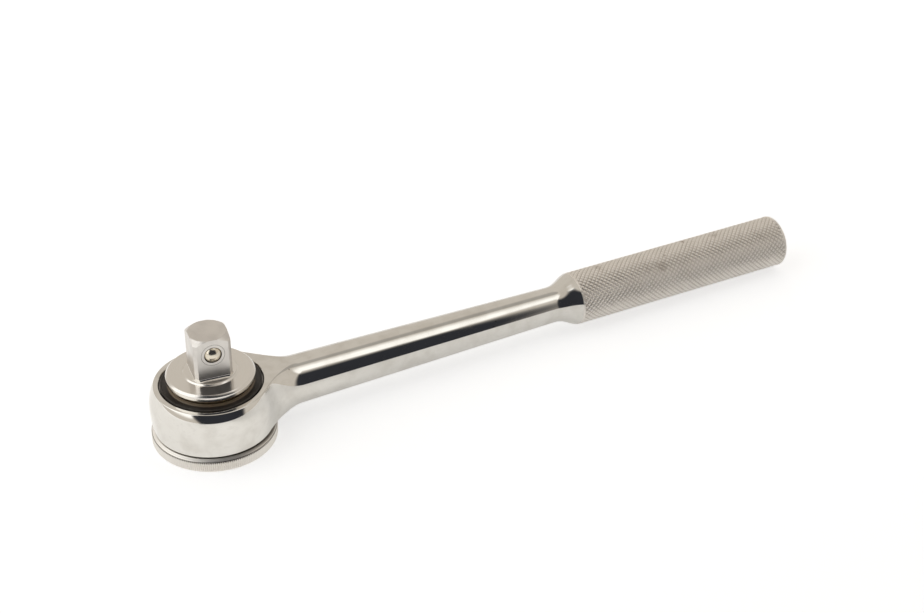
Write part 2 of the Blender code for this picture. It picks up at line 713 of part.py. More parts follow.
def spindle_profile():
    groove_half = WIRE_CLIP_RADIUS + FIT
    groove = TAIL_RADIUS - WIRE_CLIP_RADIUS
    boss = DRIVE_CORNER_RADIUS + BOSS_SPREAD
    return [
        (0, DRIVE_TOP),
        (DRIVE_TIP_RADIUS, DRIVE_TOP),
        (DRIVE_CORNER_RADIUS, DRIVE_TOP - DRIVE_TIP_HEIGHT),
        (DRIVE_CORNER_RADIUS, BOSS_TOP),
        (boss, DISC_TOP),
        (DISC_RADIUS - DISC_CHAMFER, DISC_TOP),
        (DISC_RADIUS, DISC_TOP - DISC_CHAMFER),
        (DISC_RADIUS, DISC_FOOT),
        (COLLAR_RADIUS, DISC_FOOT),
        (COLLAR_RADIUS, FLANGE_TOP),
        (FLANGE_RADIUS, FLANGE_TOP),
        (FLANGE_RADIUS, FLANGE_FOOT),
        (BODY_RADIUS, FLANGE_FOOT),
        (BODY_RADIUS, BODY_FOOT),
        (TAIL_RADIUS, BODY_FOOT),
        (TAIL_RADIUS, WIRE_CLIP_LEVEL + groove_half),
        (groove, WIRE_CLIP_LEVEL + groove_half),
        (groove, WIRE_CLIP_LEVEL - groove_half),
        (TAIL_RADIUS, WIRE_CLIP_LEVEL - groove_half),
        (TAIL_RADIUS, TAIL_FOOT),
        (0, TAIL_FOOT),
    ]


def square_outline(half):
    return [Vector((half, half)), Vector((-half, half)), Vector((-half, -half)), Vector((half, -half))]


def flats_cutter():
    # What milling takes off round the square: a frame with the square as its opening.
    bm = bmesh.new()
    loops = []
    for half, level in (
        (DISC_RADIUS, DRIVE_TOP + OVERCUT),
        (DISC_RADIUS, BOSS_TOP),
        (DRIVE_SQUARE / 2, BOSS_TOP),
        (DRIVE_SQUARE / 2, DRIVE_TOP + OVERCUT),
    ):
        loops.append([bm.verts.new((*p, level)) for p in square_outline(half)])
    for first, second in zip(loops, loops[1:] + loops[:1]):
        for k in range(4):
            bm.faces.new((first[k], first[k - 1], second[k - 1], second[k]))
    return finished(bm)


def socket_ball_depth():
    # From the square's flat in to the ball's centre, with the ball held behind the lip.
    return SOCKET_LIP_DEPTH + math.sqrt(SOCKET_BALL_RADIUS ** 2 - SOCKET_LIP_RADIUS ** 2) + FIT


def socket_ball_hole():
    # Drilled in through the near flat, with its mouth staked in over the ball. Built along Z.
    hole = SOCKET_BALL_RADIUS + FIT
    depth = DRIVE_SQUARE - SOCKET_BACK_WALL
    return revolved(
        [
            (0, OVERCUT),
            (SOCKET_LIP_RADIUS, OVERCUT),
            (SOCKET_LIP_RADIUS, -SOCKET_LIP_DEPTH),
            (hole, -SOCKET_LIP_DEPTH - (hole - SOCKET_LIP_RADIUS)),
            (hole, -depth),
            (0, -depth),
        ],
        PIN_STEPS,
    )


def make_spindle(finish, axis):
    spindle = placed("drive_spindle", revolved(spindle_profile()), finish, axis)
    cut(spindle, "flats_cutter", flats_cutter())
    mouth = (0, -DRIVE_SQUARE / 2, BOSS_TOP + SOCKET_BALL_HEIGHT)
    aimed(cut(spindle, "socket_ball_hole", socket_ball_hole(), location=mouth), (0, -1, 0))
    seat, direction, length = pawl_spring_line()
    level = (PAWL_FOOT + PAWL_TOP) / 2
    bore_radius = PAWL_SPRING_RADIUS + PAWL_SPRING_WIRE / 2 + FIT
    for side, flip in (("left", 1), ("right", -1)):
        outline = pocket_outline() if flip == 1 else mirrored(pocket_outline())
        cut(spindle, f"pawl_pocket_{side}", prism(outline, BODY_FOOT - OVERCUT, PAWL_TOP + FIT))
        bore = cut(
            spindle,
            f"pawl_spring_bore_{side}",
            post(bore_radius, 0, length),
            location=(seat.x, flip * seat.y, level),
        )
        aimed(bore, (direction.x, flip * direction.y, 0))
        pin_hole = post(PAWL_PIN_RADIUS + FIT, PAWL_TOP, PAWL_TOP + PAWL_PIN_GRIP + 2 * FIT)
        cut(spindle, f"pawl_pin_hole_{side}", pin_hole, location=(PIVOT.x, flip * PIVOT.y, 0))
    layout = cam_layout()
    foot = BODY_FOOT - OVERCUT
    index_hole = post(INDEX_BALL_RADIUS + FIT, foot, BODY_FOOT + INDEX_HOLE_DEPTH)
    place = polar(CAM_TRACK_RADIUS, layout["index"])
    cut(spindle, "index_hole", index_hole, location=(place.x, place.y, 0))
    stop_hole = post(STOP_PIN_RADIUS + FIT, foot, BODY_FOOT + STOP_PIN_GRIP + FIT)
    place = polar(CAM_TRACK_RADIUS, layout["stop"])
    cut(spindle, "stop_pin_hole", stop_hole, location=(place.x, place.y, 0))
    return spindle


def make_socket_detent(ball_finish, spring_finish, axis):
    level = BOSS_TOP + SOCKET_BALL_HEIGHT
    flat = -DRIVE_SQUARE / 2
    centre = flat + socket_ball_depth()
    placed("socket_ball", ball(SOCKET_BALL_RADIUS), ball_finish, axis, (0, centre, level))
    start = centre + SOCKET_BALL_RADIUS + FIT
    end = DRIVE_SQUARE / 2 - SOCKET_BACK_WALL - FIT
    length = end - start
    form = coil("socket_ball_spring", SOCKET_SPRING_RADIUS, SOCKET_SPRING_WIRE, length, SOCKET_SPRING_TURNS)
    aimed(placed(form.name, form, spring_finish, axis, (0, start, level)), (0, 1, 0))


def make_index_detent(ball_finish, spring_finish, axis):
    place = polar(CAM_TRACK_RADIUS, cam_layout()["index"])
    centre = CAM_TOP - INDEX_BALL_DIP + INDEX_BALL_RADIUS
    placed("index_ball", ball(INDEX_BALL_RADIUS), ball_finish, axis, (place.x, place.y, centre))
    start = centre + INDEX_BALL_RADIUS + FIT
    length = BODY_FOOT + INDEX_HOLE_DEPTH - FIT - start
    radius = INDEX_BALL_RADIUS - INDEX_SPRING_WIRE / 2
    form = coil("index_spring", radius, INDEX_SPRING_WIRE, length, INDEX_SPRING_TURNS)
    placed(form.name, form, spring_finish, axis, (place.x, place.y, start))


def make_stop_pin(finish, axis):
    place = polar(CAM_TRACK_RADIUS, cam_layout()["stop"])
    pin = post(STOP_PIN_RADIUS, CAM_FOOT + FIT, BODY_FOOT + STOP_PIN_GRIP)
    placed("stop_pin", pin, finish, axis, (place.x, place.y, 0))


def make_ring_clip(finish, axis):
    # Half of the wire lies in the tail's groove and half in the ring's.
    radius = TAIL_RADIUS + FIT / 2
    half_gap = WIRE_CLIP_GAP_ANGLE / 2
    points = arc((0, 0), radius, half_gap, 360 - half_gap, ROUND_STEPS // 2)
    form = tube("ring_clip", [(p.x, p.y, WIRE_CLIP_LEVEL) for p in points], WIRE_CLIP_RADIUS)
    placed("ring_clip", form, finish, axis)


def main():
    for item in list(bpy.data.objects):
        bpy.data.objects.remove(item, do_unlink=True)
    chrome = material("chrome", (0.78, 0.77, 0.74), 0.08, 1.0)
    drive_chrome = material("drive_chrome", (0.74, 0.72, 0.68), 0.25, 1.0)
    ring_chrome = material("ring_chrome", (0.72, 0.7, 0.66), 0.3, 1.0)
    ball_steel = material("ball_steel", (0.72, 0.66, 0.5), 0.08, 1.0)
    hard_steel = material("hard_steel", (0.42, 0.41, 0.4), 0.35, 1.0)
    spring_steel = material("spring_steel", (0.3, 0.29, 0.28), 0.35, 1.0)
    rubber = material("rubber", (0.03, 0.025, 0.02), 0.6, 0.0)
    spindle_axis = placed("spindle_axis", None, turn=SPINDLE_REST)
    ring_axis = placed("ring_axis", None, parent=spindle_axis)
    make_handle(chrome)
    make_retaining_ring(spring_steel)
    make_dust_seal(rubber)
    make_spindle(drive_chrome, spindle_axis)
    make_socket_detent(ball_steel, spring_steel, spindle_axis)
    for side in ("left", "right"):
        make_pawl(side, hard_steel, spindle_axis)
        make_pawl_pin(side, hard_steel, spindle_axis)
        make_pawl_spring(side, spring_steel, spindle_axis)
    make_stop_pin(hard_steel, spindle_axis)
    make_index_detent(ball_steel, spring_steel, spindle_axis)
    make_ring_clip(spring_steel, spindle_axis)
    make_reversing_ring(ring_chrome, ring_axis)
    make_cam_plate(hard_steel, ring_axis)
    make_cam_dowels(hard_steel, ring_axis)


main()
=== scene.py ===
import json
import math

import bmesh
import bpy
from mathutils import Matrix, Vector


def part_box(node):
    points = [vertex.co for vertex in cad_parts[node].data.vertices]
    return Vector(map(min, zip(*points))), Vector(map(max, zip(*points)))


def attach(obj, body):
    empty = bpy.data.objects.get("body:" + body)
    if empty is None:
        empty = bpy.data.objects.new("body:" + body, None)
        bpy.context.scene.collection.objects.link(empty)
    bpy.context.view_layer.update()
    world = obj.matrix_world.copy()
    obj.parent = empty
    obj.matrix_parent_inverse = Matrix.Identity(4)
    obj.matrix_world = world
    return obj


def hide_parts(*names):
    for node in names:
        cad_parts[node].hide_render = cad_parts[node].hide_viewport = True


# ratchet handle, dressed: fine skins, finishes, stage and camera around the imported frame
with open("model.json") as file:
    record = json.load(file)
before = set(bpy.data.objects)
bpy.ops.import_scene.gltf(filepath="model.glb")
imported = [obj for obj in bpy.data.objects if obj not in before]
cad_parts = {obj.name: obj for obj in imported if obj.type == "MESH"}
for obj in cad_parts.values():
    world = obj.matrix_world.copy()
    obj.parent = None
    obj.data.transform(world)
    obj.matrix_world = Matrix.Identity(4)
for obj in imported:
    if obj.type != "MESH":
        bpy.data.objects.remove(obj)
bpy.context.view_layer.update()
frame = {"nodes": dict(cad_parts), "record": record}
nodes = frame["nodes"]
mm = 0.001
weld = 0.0005 * mm      # points closer than this are one point
cutClear = 1            # mm by which a cutter stands out of what it cuts
flatMount = next(m for m in frame["record"]["mounts"] if m["name"] == "drive_flat")
restTurn = math.degrees(math.atan2(flatMount["axis"][1], flatMount["axis"][0]))    # of the drive square
print("frame loaded with", len(nodes), "nodes")


# small helpers

def polar(radius, degrees):
    angle = math.radians(degrees)
    return Vector((radius * math.cos(angle), radius * math.sin(angle)))


def mix(start, end, share):
    return start + (end - start) * share


def ease(share):
    share = min(max(share, 0.0), 1.0)
    return share * share * (3 - 2 * share)


def weldPoints(bm):
    bmesh.ops.remove_doubles(bm, verts=bm.verts, dist=weld)


def closeForm(bm):
    weldPoints(bm)
    bmesh.ops.recalc_face_normals(bm, faces=bm.faces)
    return bm


def addPiece(name, bm, finishes, sharpAngle=30.0, weighted=True):
    closeForm(bm)
    mesh = bpy.data.meshes.new(name)
    bm.to_mesh(mesh)
    bm.free()
    mesh.shade_smooth()
    mesh.set_sharp_from_angle(angle=math.radians(sharpAngle))
    for finish in finishes:
        mesh.materials.append(finish)
    piece = bpy.data.objects.new(name, mesh)
    bpy.context.scene.collection.objects.link(piece)
    if weighted:
        lean = piece.modifiers.new("flat faces keep their light", "WEIGHTED_NORMAL")
        lean.keep_sharp = True
    return piece


def dress(piece, body, node):
    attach(piece, body)
    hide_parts(node)


def joinLoops(bm, first, second, closed=True, finish=0):
    count = len(first) if closed else len(first) - 1
    for k in range(count):
        corners = (first[k], first[(k + 1) % len(first)], second[(k + 1) % len(second)], second[k])
        corners = tuple(dict.fromkeys(corners))
        if len(corners) > 2:
            bm.faces.new(corners).material_index = finish


def spinLoops(bm, profile, steps, finish=0):
    # turns (radius, height) points about Z, given in mm
    loops = []
    for radius, height in profile:
        if radius == 0:
            loops.append([bm.verts.new((0, 0, height * mm))] * steps)
        else:
            turn = [polar(radius * mm, 360 * k / steps) for k in range(steps)]
            loops.append([bm.verts.new((p.x, p.y, height * mm)) for p in turn])
    for first, second in zip(loops, loops[1:]):
        joinLoops(bm, first, second, finish=finish)
    return loops


def roundCorner(before, corner, after, radius, steps=4):
    # the arc that softens one corner of a profile
    corner = Vector(corner)
    one = (Vector(before) - corner).normalized()
    two = (Vector(after) - corner).normalized()
    half = math.acos(max(-1, min(1, one.dot(two)))) / 2
    reach = radius / math.tan(half)
    centre = corner + (one + two).normalized() * (radius / math.sin(half))
    start = corner + one * reach - centre
    end = corner + two * reach - centre
    sweep = start.angle_signed(end)
    return [centre + Matrix.Rotation(-sweep * k / steps, 2) @ start for k in range(steps + 1)]


def softened(points, rounds, steps=4):
    # a profile with some corners rounded: rounds is {index: radius}
    made = []
    for k, point in enumerate(points):
        if k in rounds:
            made += roundCorner(points[k - 1], point, points[k + 1], rounds[k], steps)
        else:
            made.append(Vector(point))
    return made


def flatFill(bm, outer, inner, finish=0):
    # a flat face between two loops of points
    edges = []
    for loop in (outer, inner):
        for k in range(len(loop)):
            pair = (loop[k], loop[(k + 1) % len(loop)])
            edges.append(bm.edges.get(pair) or bm.edges.new(pair))
    made = bmesh.ops.triangle_fill(bm, edges=edges, use_beauty=True)
    for item in made["geom"]:
        if isinstance(item, bmesh.types.BMFace):
            item.material_index = finish


def cutAway(piece, bm):
    # takes a closed form out of a piece for good
    mesh = bpy.data.meshes.new("cutter")
    bm.to_mesh(mesh)
    bm.free()
    tool = bpy.data.objects.new("cutter", mesh)
    bpy.context.scene.collection.objects.link(tool)
    step = piece.modifiers.new("cut", "BOOLEAN")
    step.object = tool
    bpy.context.view_layer.update()
    shape = piece.evaluated_get(bpy.context.evaluated_depsgraph_get())
    made = bpy.data.meshes.new_from_object(shape)
    piece.modifiers.remove(step)
    piece.data = made
    bpy.data.objects.remove(tool)


def postForm(radius, foot, top, centre, steps=32):
    bm = bmesh.new()
    spinLoops(bm, [(0, foot), (radius, foot), (radius, top), (0, top)], steps)
    bmesh.ops.translate(bm, verts=bm.verts, vec=(centre[0], centre[1], 0))
    return closeForm(bm)


# finishes, all made of nodes in the tool's own coordinates, in metres

noiseSpan = (0.3, 0.7)      # where most of a noise's values lie


def mainShader(finish):
    return finish.node_tree.nodes["Principled BSDF"]


def newFinish(name, colour, roughness, metallic=0.0):
    finish = bpy.data.materials.new(name)
    finish.use_nodes = True
    shader = mainShader(finish)
    shader.inputs["Base Color"].default_value = (*colour, 1)
    shader.inputs["Roughness"].default_value = roughness
    shader.inputs["Metallic"].default_value = metallic
    return finish


def addNode(finish, kind, inputs, **settings):
    # inputs are numbers, colours or another node's output
    tree = finish.node_tree
    node = tree.nodes.new("ShaderNode" + kind)
    for key, value in settings.items():
        setattr(node, key, value)
    for key, value in inputs.items():
        if isinstance(value, bpy.types.NodeSocket):
            tree.links.new(value, node.inputs[key])
        else:
            node.inputs[key].default_value = value
    return node


def place(finish):
    return addNode(finish, "TexCoord", {}).outputs["Object"]


def noise(finish, scale, detail, vector=None):
    vector = vector or place(finish)
    return addNode(finish, "TexNoise", {"Vector": vector, "Scale": scale, "Detail": detail}).outputs["Fac"]


def stretch(finish, factors):
    return addNode(finish, "Mapping", {"Vector": place(finish), "Scale": factors}).outputs["Vector"]


def remap(finish, value, source, target):
    inputs = {"Value": value, 1: source[0], 2: source[1], 3: target[0], 4: target[1]}
    return addNode(finish, "MapRange", inputs, interpolation_type="SMOOTHSTEP").outputs["Result"]


def maths(finish, operation, one, two=0.0):
    return addNode(finish, "Math", {0: one, 1: two}, operation=operation).outputs["Value"]


def blend(finish, share, start, end):
    inputs = {"Factor": share, 6: start, 7: end}
    return addNode(finish, "Mix", inputs, data_type="RGBA").outputs[2]


def axisPart(finish, letter):
    return addNode(finish, "SeparateXYZ", {"Vector": place(finish)}).outputs[letter]


def fromAxis(finish, centre, along):
    # distance from a line through the centre, along X or Z
    keep = {"X": (0, 1, 1), "Z": (1, 1, 0)}[along]
    moved = addNode(finish, "VectorMath", {0: place(finish), 1: centre}, operation="SUBTRACT").outputs[0]
    flat = addNode(finish, "VectorMath", {0: moved, 1: keep}, operation="MULTIPLY").outputs[0]
    return addNode(finish, "VectorMath", {0: flat}, operation="LENGTH").outputs["Value"]


def specks(finish, scale, size, share):
    # small round spots, one to a cell
    cells = addNode(finish, "TexVoronoi", {"Vector": place(finish), "Scale": scale})
    return remap(finish, cells.outputs["Distance"], size, (share, 0.0))


def bump(finish, height, distance):
    inputs = {"Height": height, "Distance": distance, "Strength": 1.0}
    return addNode(finish, "Bump", inputs).outputs["Normal"]


def darker(colour, share):
    return (*[c * share for c in colour], 1)


def inMetres(base, offsets):
    return [(base + offset) * mm for offset in offsets]


def feed(finish, **inputs):
    for key, value in inputs.items():
        finish.node_tree.links.new(value, mainShader(finish).inputs[key.replace("_", " ")])


polishLook = {
    "colour": (0.75, 0.735, 0.70, 1),
    "worn": (0.66, 0.64, 0.60, 1),
    "pit": (0.25, 0.22, 0.19, 1),
    "roughness": (0.03, 0.10),
    "smudges": 140.0,       # to a metre, as all scales of the finishes
    "smudgeRange": (0.38, 0.72),
    "scuffs": 700.0,
    "scuffStretch": (0.25, 1.0, 1.0),
    "scuffRange": (0.56, 0.7),
    "scuffShare": 0.35,
    "pits": 150.0,
    "pitSize": (0.03, 0.06),
    "pitShare": 0.75,
    "ripple": 110.0,
    "rippleDepth": 0.000012,
}


def polishedFinish():
    look = polishLook
    finish = newFinish("polished chrome", look["colour"][:3], look["roughness"][0], metallic=1.0)
    smudge = remap(finish, noise(finish, look["smudges"], detail=6.0), look["smudgeRange"], (0.0, 1.0))
    streaks = noise(finish, look["scuffs"], detail=2.0, vector=stretch(finish, look["scuffStretch"]))
    scuff = remap(finish, streaks, look["scuffRange"], (0.0, look["scuffShare"]))
    wear = maths(finish, "MAXIMUM", smudge, scuff)
    colour = blend(finish, wear, look["colour"], look["worn"])
    pits = specks(finish, look["pits"], look["pitSize"], look["pitShare"])
    colour = blend(finish, pits, colour, look["pit"])
    rough = remap(finish, wear, (0.0, 1.0), look["roughness"])
    ripple = bump(finish, noise(finish, look["ripple"], detail=1.0), look["rippleDepth"])
    feed(finish, Base_Color=colour, Roughness=rough, Normal=ripple)
    return finish


gripLook = {
    "crest": (0.85, 0.815, 0.77, 1),
    "groove": (0.55, 0.505, 0.46, 1),
    "stain": (0.33, 0.27, 0.22, 1),
    "crestShare": 0.3,      # of the knurl's depth, that stays bright
    "endFade": 0.2,
    "endDarkening": 0.15,
    "darkening": 180.0,
    "darkeningShares": (0.55, 1.0),
    "stains": 95.0,
    "stainRange": (0.62, 0.76),
    "stainShare": 0.5,
    "specks": 90.0,
    "speckSize": (0.03, 0.085),
    "speckShare": 0.8,
    "grain": 420.0,
    "roughness": (0.34, 0.5),
}


def gripFinish(axis, radius, depth, end):
    # lighter crests and darker grooves, and a few stains
    look = gripLook
    finish = newFinish("knurled chrome", look["crest"][:3], look["roughness"][0], metallic=1.0)
    height = fromAxis(finish, (0, 0, axis * mm), "X")
    span = ((radius - depth) * mm, (radius - look["crestShare"] * depth) * mm)
    # darker in the grooves, less so close to the grip's end
    low = remap(finish, height, span, (1.0, 0.0))
    span = ((end - look["endFade"]) * mm, end * mm)
    towardsEnd = remap(finish, axisPart(finish, "X"), span, (1.0, look["endDarkening"]))
    low = maths(finish, "MULTIPLY", low, towardsEnd)
    darkening = remap(finish, noise(finish, look["darkening"], detail=4.0), noiseSpan, look["darkeningShares"])
    colour = blend(finish, maths(finish, "MULTIPLY", low, darkening), look["crest"], look["groove"])
    patches = noise(finish, look["stains"], detail=4.0)
    stain = remap(finish, patches, look["stainRange"], (0.0, look["stainShare"]))
    colour = blend(finish, stain, colour, look["stain"])
    spots = specks(finish, look["specks"], look["speckSize"], look["speckShare"])
    colour = blend(finish, spots, colour, look["stain"])
    rough = remap(finish, noise(finish, look["grain"], detail=2.0), noiseSpan, look["roughness"])
    feed(finish, Base_Color=colour, Roughness=rough)
    return finish


turnedLook = {
    "turned chrome": {"colour": (0.78, 0.755, 0.715), "roughness": 0.15, "lines": 4500, "depth": 0.0000015},
    "ring chrome": {"colour": (0.89, 0.86, 0.815), "roughness": 0.4, "lines": 2600, "depth": 0.000004},
}
latheMarks = {
    "drift": 260.0,         # how soon the lines stray
    "spread": (0.75, 1.3),  # of the roughness
    "dark": 0.86,
    "darkRange": (0.35, 0.65),
    "darkShare": 0.5,
    "lineShare": 0.5,
    "stretch": 0.75,
}


def turnedFinish(name):
    # fine concentric lathe marks about Z
    look = turnedLook[name]
    finish = newFinish(name, look["colour"], look["roughness"], metallic=1.0)
    radius = fromAxis(finish, (0, 0, 0), "Z")
    drift = noise(finish, latheMarks["drift"], detail=3.0)
    phase = maths(finish, "MULTIPLY", radius, look["lines"] * 2 * math.pi)
    wave = maths(finish, "SINE", maths(finish, "ADD", phase, drift))
    band = addNode(finish, "CombineXYZ", {"X": radius})
    grain = noise(finish, look["lines"], detail=4.0, vector=band.outputs["Vector"])
    roughs = [look["roughness"] * share for share in latheMarks["spread"]]
    rough = remap(finish, grain, noiseSpan, roughs)
    dull = remap(finish, grain, latheMarks["darkRange"], (0.0, latheMarks["darkShare"]))
    shade = blend(finish, dull, (*look["colour"], 1), darker(look["colour"], latheMarks["dark"]))
    both = maths(finish, "ADD", maths(finish, "MULTIPLY", wave, latheMarks["lineShare"]), grain)
    feed(finish, Base_Color=shade, Roughness=rough, Normal=bump(finish, both, look["depth"]))
    mainShader(finish).inputs["Anisotropic"].default_value = latheMarks["stretch"]
    tangent = addNode(finish, "Tangent", {}, direction_type="RADIAL", axis="Z")
    feed(finish, Tangent=tangent.outputs["Tangent"])
    return finish


grainedLook = {
    "milled chrome": {
        "colour": (0.72, 0.695, 0.665),
        "roughness": 0.34,
        "stretch": (1.6, 1.6, 0.8),
        "depth": 0.0000005,
    },
    "ball steel": {
        "colour": (0.78, 0.72, 0.61),
        "roughness": 0.2,
        "stretch": (1.0, 1.0, 1.0),
        "depth": 0.000002,
    },
    "hard steel": {
        "colour": (0.42, 0.41, 0.40),
        "roughness": 0.35,
        "stretch": (1.0, 1.0, 0.3),
        "depth": 0.000006,
    },
    "spring steel": {
        "colour": (0.3, 0.29, 0.28),
        "roughness": 0.35,
        "stretch": (1.0, 1.0, 1.0),
        "depth": 0.000005,
    },
}
grainMarks = {
    "grain": 1000.0,
    "clouds": 150.0,
    "cloudRange": (0.35, 0.7),
    "cloudShare": 0.6,
    "dark": 0.8,
    "spread": (0.92, 1.08),     # of the roughness
}


def grainedFinish(name):
    # brushed or oiled metal with its grain stretched one way
    look = grainedLook[name]
    finish = newFinish(name, look["colour"], look["roughness"], metallic=1.0)
    grain = noise(finish, grainMarks["grain"], detail=3.0, vector=stretch(finish, look["stretch"]))
    clouds = noise(finish, grainMarks["clouds"], detail=4.0)
    cloud = remap(finish, clouds, grainMarks["cloudRange"], (0.0, grainMarks["cloudShare"]))
    shade = blend(finish, cloud, (*look["colour"], 1), darker(look["colour"], grainMarks["dark"]))
    roughs = [look["roughness"] * share for share in grainMarks["spread"]]
    rough = remap(finish, grain, noiseSpan, roughs)
    feed(finish, Base_Color=shade, Roughness=rough, Normal=bump(finish, grain, look["depth"]))
    return finish


rubberLook = {
    "black": (0.018, 0.014, 0.011, 1),
    "dusty": (0.05, 0.038, 0.027, 1),
    "paintedLipHighlight": (0.30, 0.22, 0.135, 1),
    "roughness": 0.45,
    "dust": 600.0,
    "dustRange": (0.45, 0.75),
    "dustShare": 0.6,
    "lip": (0.0137, 0.0150),    # radii between which the painted lip highlight fades
    "pores": 1500.0,
    "poreDepth": 0.00004,
}


def rubberFinish():
    # black, with a painted brown highlight on the lip towards the spindle
    look = rubberLook
    finish = newFinish("seal rubber", look["dusty"][:3], look["roughness"])
    clouds = noise(finish, look["dust"], detail=4.0)
    dust = remap(finish, clouds, look["dustRange"], (0.0, look["dustShare"]))
    shade = blend(finish, dust, look["black"], look["dusty"])
    # painted highlight: the inner lip is lightened to brown, as if lit from the front
    lip = remap(finish, fromAxis(finish, (0, 0, 0), "Z"), look["lip"], (1.0, 0.0))
    shade = blend(finish, lip, shade, look["paintedLipHighlight"])
    pores = bump(finish, noise(finish, look["pores"], detail=2.0), look["poreDepth"])
    feed(finish, Base_Color=shade, Normal=pores)
    return finish


ringLook = {
    # colour of the grooves' darkening, also used for the painted shadow in the gap
    "darkening": (0.10, 0.085, 0.07, 1),
    "grooveEdge": (0.7, 0.1),   # of a tooth's depth, where the darkening in a groove ends
    "knurlFoot": 0.6,           # of the height at which the knurl begins
    "knurlEnd": (0.1, 0.25),    # mm above the knurl
    "thickening": (-0.8, -0.2),     # mm from the knurl's upper end
    "thin": 0.12,
    "gapShadowEdge": (-1.25, -0.6),   # mm from the ring's radius
    "gapShadowFoot": (0.2, 0.3),      # mm above the knurl
    "gapShadowShare": 0.92,
    "gapShadowLean": 0.025,           # the painted shadow in the gap reaches further out on the right
}


def ringFinish(radius, depth, low, high):
    # satin, darker in the knurl's grooves, most at its upper end, and with a painted shadow in the gap
    # above it under the head
    look = ringLook
    finish = turnedFinish("ring chrome")
    metal = mainShader(finish).inputs["Base Color"].links[0].from_socket
    reach = fromAxis(finish, (0, 0, 0), "Z")
    height = axisPart(finish, "Z")
    edge = [(radius - share * depth) * mm for share in look["grooveEdge"]]
    groove = remap(finish, reach, edge, (1.0, 0.0))
    foot = remap(finish, height, (look["knurlFoot"] * low * mm, low * mm), (0.0, 1.0))
    end = remap(finish, height, inMetres(high, look["knurlEnd"]), (1.0, 0.0))
    thick = remap(finish, height, inMetres(high, look["thickening"]), (look["thin"], 1.0))
    ends = maths(finish, "MULTIPLY", end, thick)
    darkening = maths(finish, "MULTIPLY", maths(finish, "MULTIPLY", groove, foot), ends)
    # painted shadow of the head's foot on the ring's top chamfer, reaching further out on the right side
    lean = maths(finish, "MULTIPLY", axisPart(finish, "X"), look["gapShadowLean"])
    rim = maths(finish, "SUBTRACT", reach, lean)
    gap = remap(finish, rim, inMetres(radius, look["gapShadowEdge"]), (look["gapShadowShare"], 0.0))
    above = remap(finish, height, inMetres(high, look["gapShadowFoot"]), (0.0, 1.0))
    # the grooves' darkening joined with the painted gap shadow
    darkening = maths(finish, "MAXIMUM", darkening, maths(finish, "MULTIPLY", gap, above))
    feed(finish, Base_Color=blend(finish, darkening, metal, look["darkening"]))
    return finish


polish = polishedFinish()
turnedChrome = turnedFinish("turned chrome")
milledChrome = grainedFinish("milled chrome")
ballSteel = grainedFinish("ball steel")
hardSteel = grainedFinish("hard steel")
springSteel = grainedFinish("spring steel")
sealRubber = rubberFinish()
print("finishes made")


# handle: barrel head, neck, tapered shank, shoulder and knurled grip in one skin

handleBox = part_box("handle")
handle = {
    "axis": (handleBox[0].z + handleBox[1].z) / 2 / mm,
    "gripRadius": (handleBox[1].z - handleBox[0].z) / 2 / mm,
    "reach": handleBox[1].x / mm,
    "headRadius": -handleBox[0].x / mm,
    "headFoot": 5.4,
    "headTop": 22.0,
    "belly": 14.6,
    "crownRound": 15.5,
    "flankRound": 58.0,
    "rimRound": 0.45,       # the soft edge round the head's top
    "creaseFade": 4.5,      # how soon that edge tightens, going from the round shank to the head
    "footRound": 0.6,
    "neckFillet": 20.0,
    "neckStart": 30.5,      # where the shank begins to swell
    "neckPull": (0.79, 0.765),  # how far the curve follows the shank and the head
    "shankRoot": 9.05,
    "shankWaist": 6.65,
    "shoulder": (131.2, 141.6),
    "shoulderLag": 1.32,    # above 1 the shoulder's hollow is softer than its crest
    "knurl": (140.6, 232.5),
    "knurlStarts": 31,
    "knurlLength": 1.945,   # of one diamond along the grip
    "knurlDepth": 0.36,
    "knurlSlope": 0.78,     # of a diamond's sides, up to its flat top
    "knurlFade": (0.9, 0.4),    # at the shoulder and at the end
    "endRound": 0.4,
    "bore": 17.2,
    "boreChamfer": 0.4,
    "groove": (19.8, 21.1, 18.1),   # of the retaining ring: its floor, its top and its radius
    "toothTop": 17.15,
    "teeth": 36,
    "toothTip": 14.8,
    "toothRoot": 16.15,
    "toothLand": 0.35,
}
columnSteps = 2 * handle["knurlStarts"]     # points down one side, four to a knurl diamond
endSteps = 6
shoulderSteps = 32
shankSteps = 30
neckSteps = 64
flatShare = 0.625       # of the neck, after which its top is level with the head's
headSteps = 90
levelSlack = 1e-7       # heights closer than this count as the same


def sideColumn(point, outward, level, crown, flank, edges):
    # one station of the skin, from its top face down one side to its underside
    crownRadius, top = crown
    flankRadius, low = flank
    topEdge, lowEdge = edges
    rise = min(top - level, crownRadius)
    fall = min(level - low, flankRadius)
    topEdge = min(topEdge, rise)
    lowEdge = min(lowEdge, fall)
    inTop = math.sqrt(max(0, (crownRadius - topEdge) ** 2 - (rise - topEdge) ** 2))
    inLow = math.sqrt(max(0, (flankRadius - lowEdge) ** 2 - (fall - lowEdge) ** 2))
    topAngle = math.degrees(math.atan2(rise - topEdge, inTop))
    lowAngle = math.degrees(math.atan2(fall - lowEdge, inLow))
    arcs = (
        ((inTop - crownRadius, rise - topEdge), topEdge, 90, topAngle),
        ((-crownRadius, 0), crownRadius, topAngle, 0),
        ((-flankRadius, 0), flankRadius, 0, -lowAngle),
        ((inLow - flankRadius, lowEdge - fall), lowEdge, -lowAngle, -90),
    )
    column = []
    for centre, radius, angle in alongArcs(arcs):
        spot = Vector(centre) + polar(radius, angle)
        foot = Vector(point) + Vector(outward) * spot.x
        column.append(Vector((foot.x, foot.y, level + spot.y)))
    return column


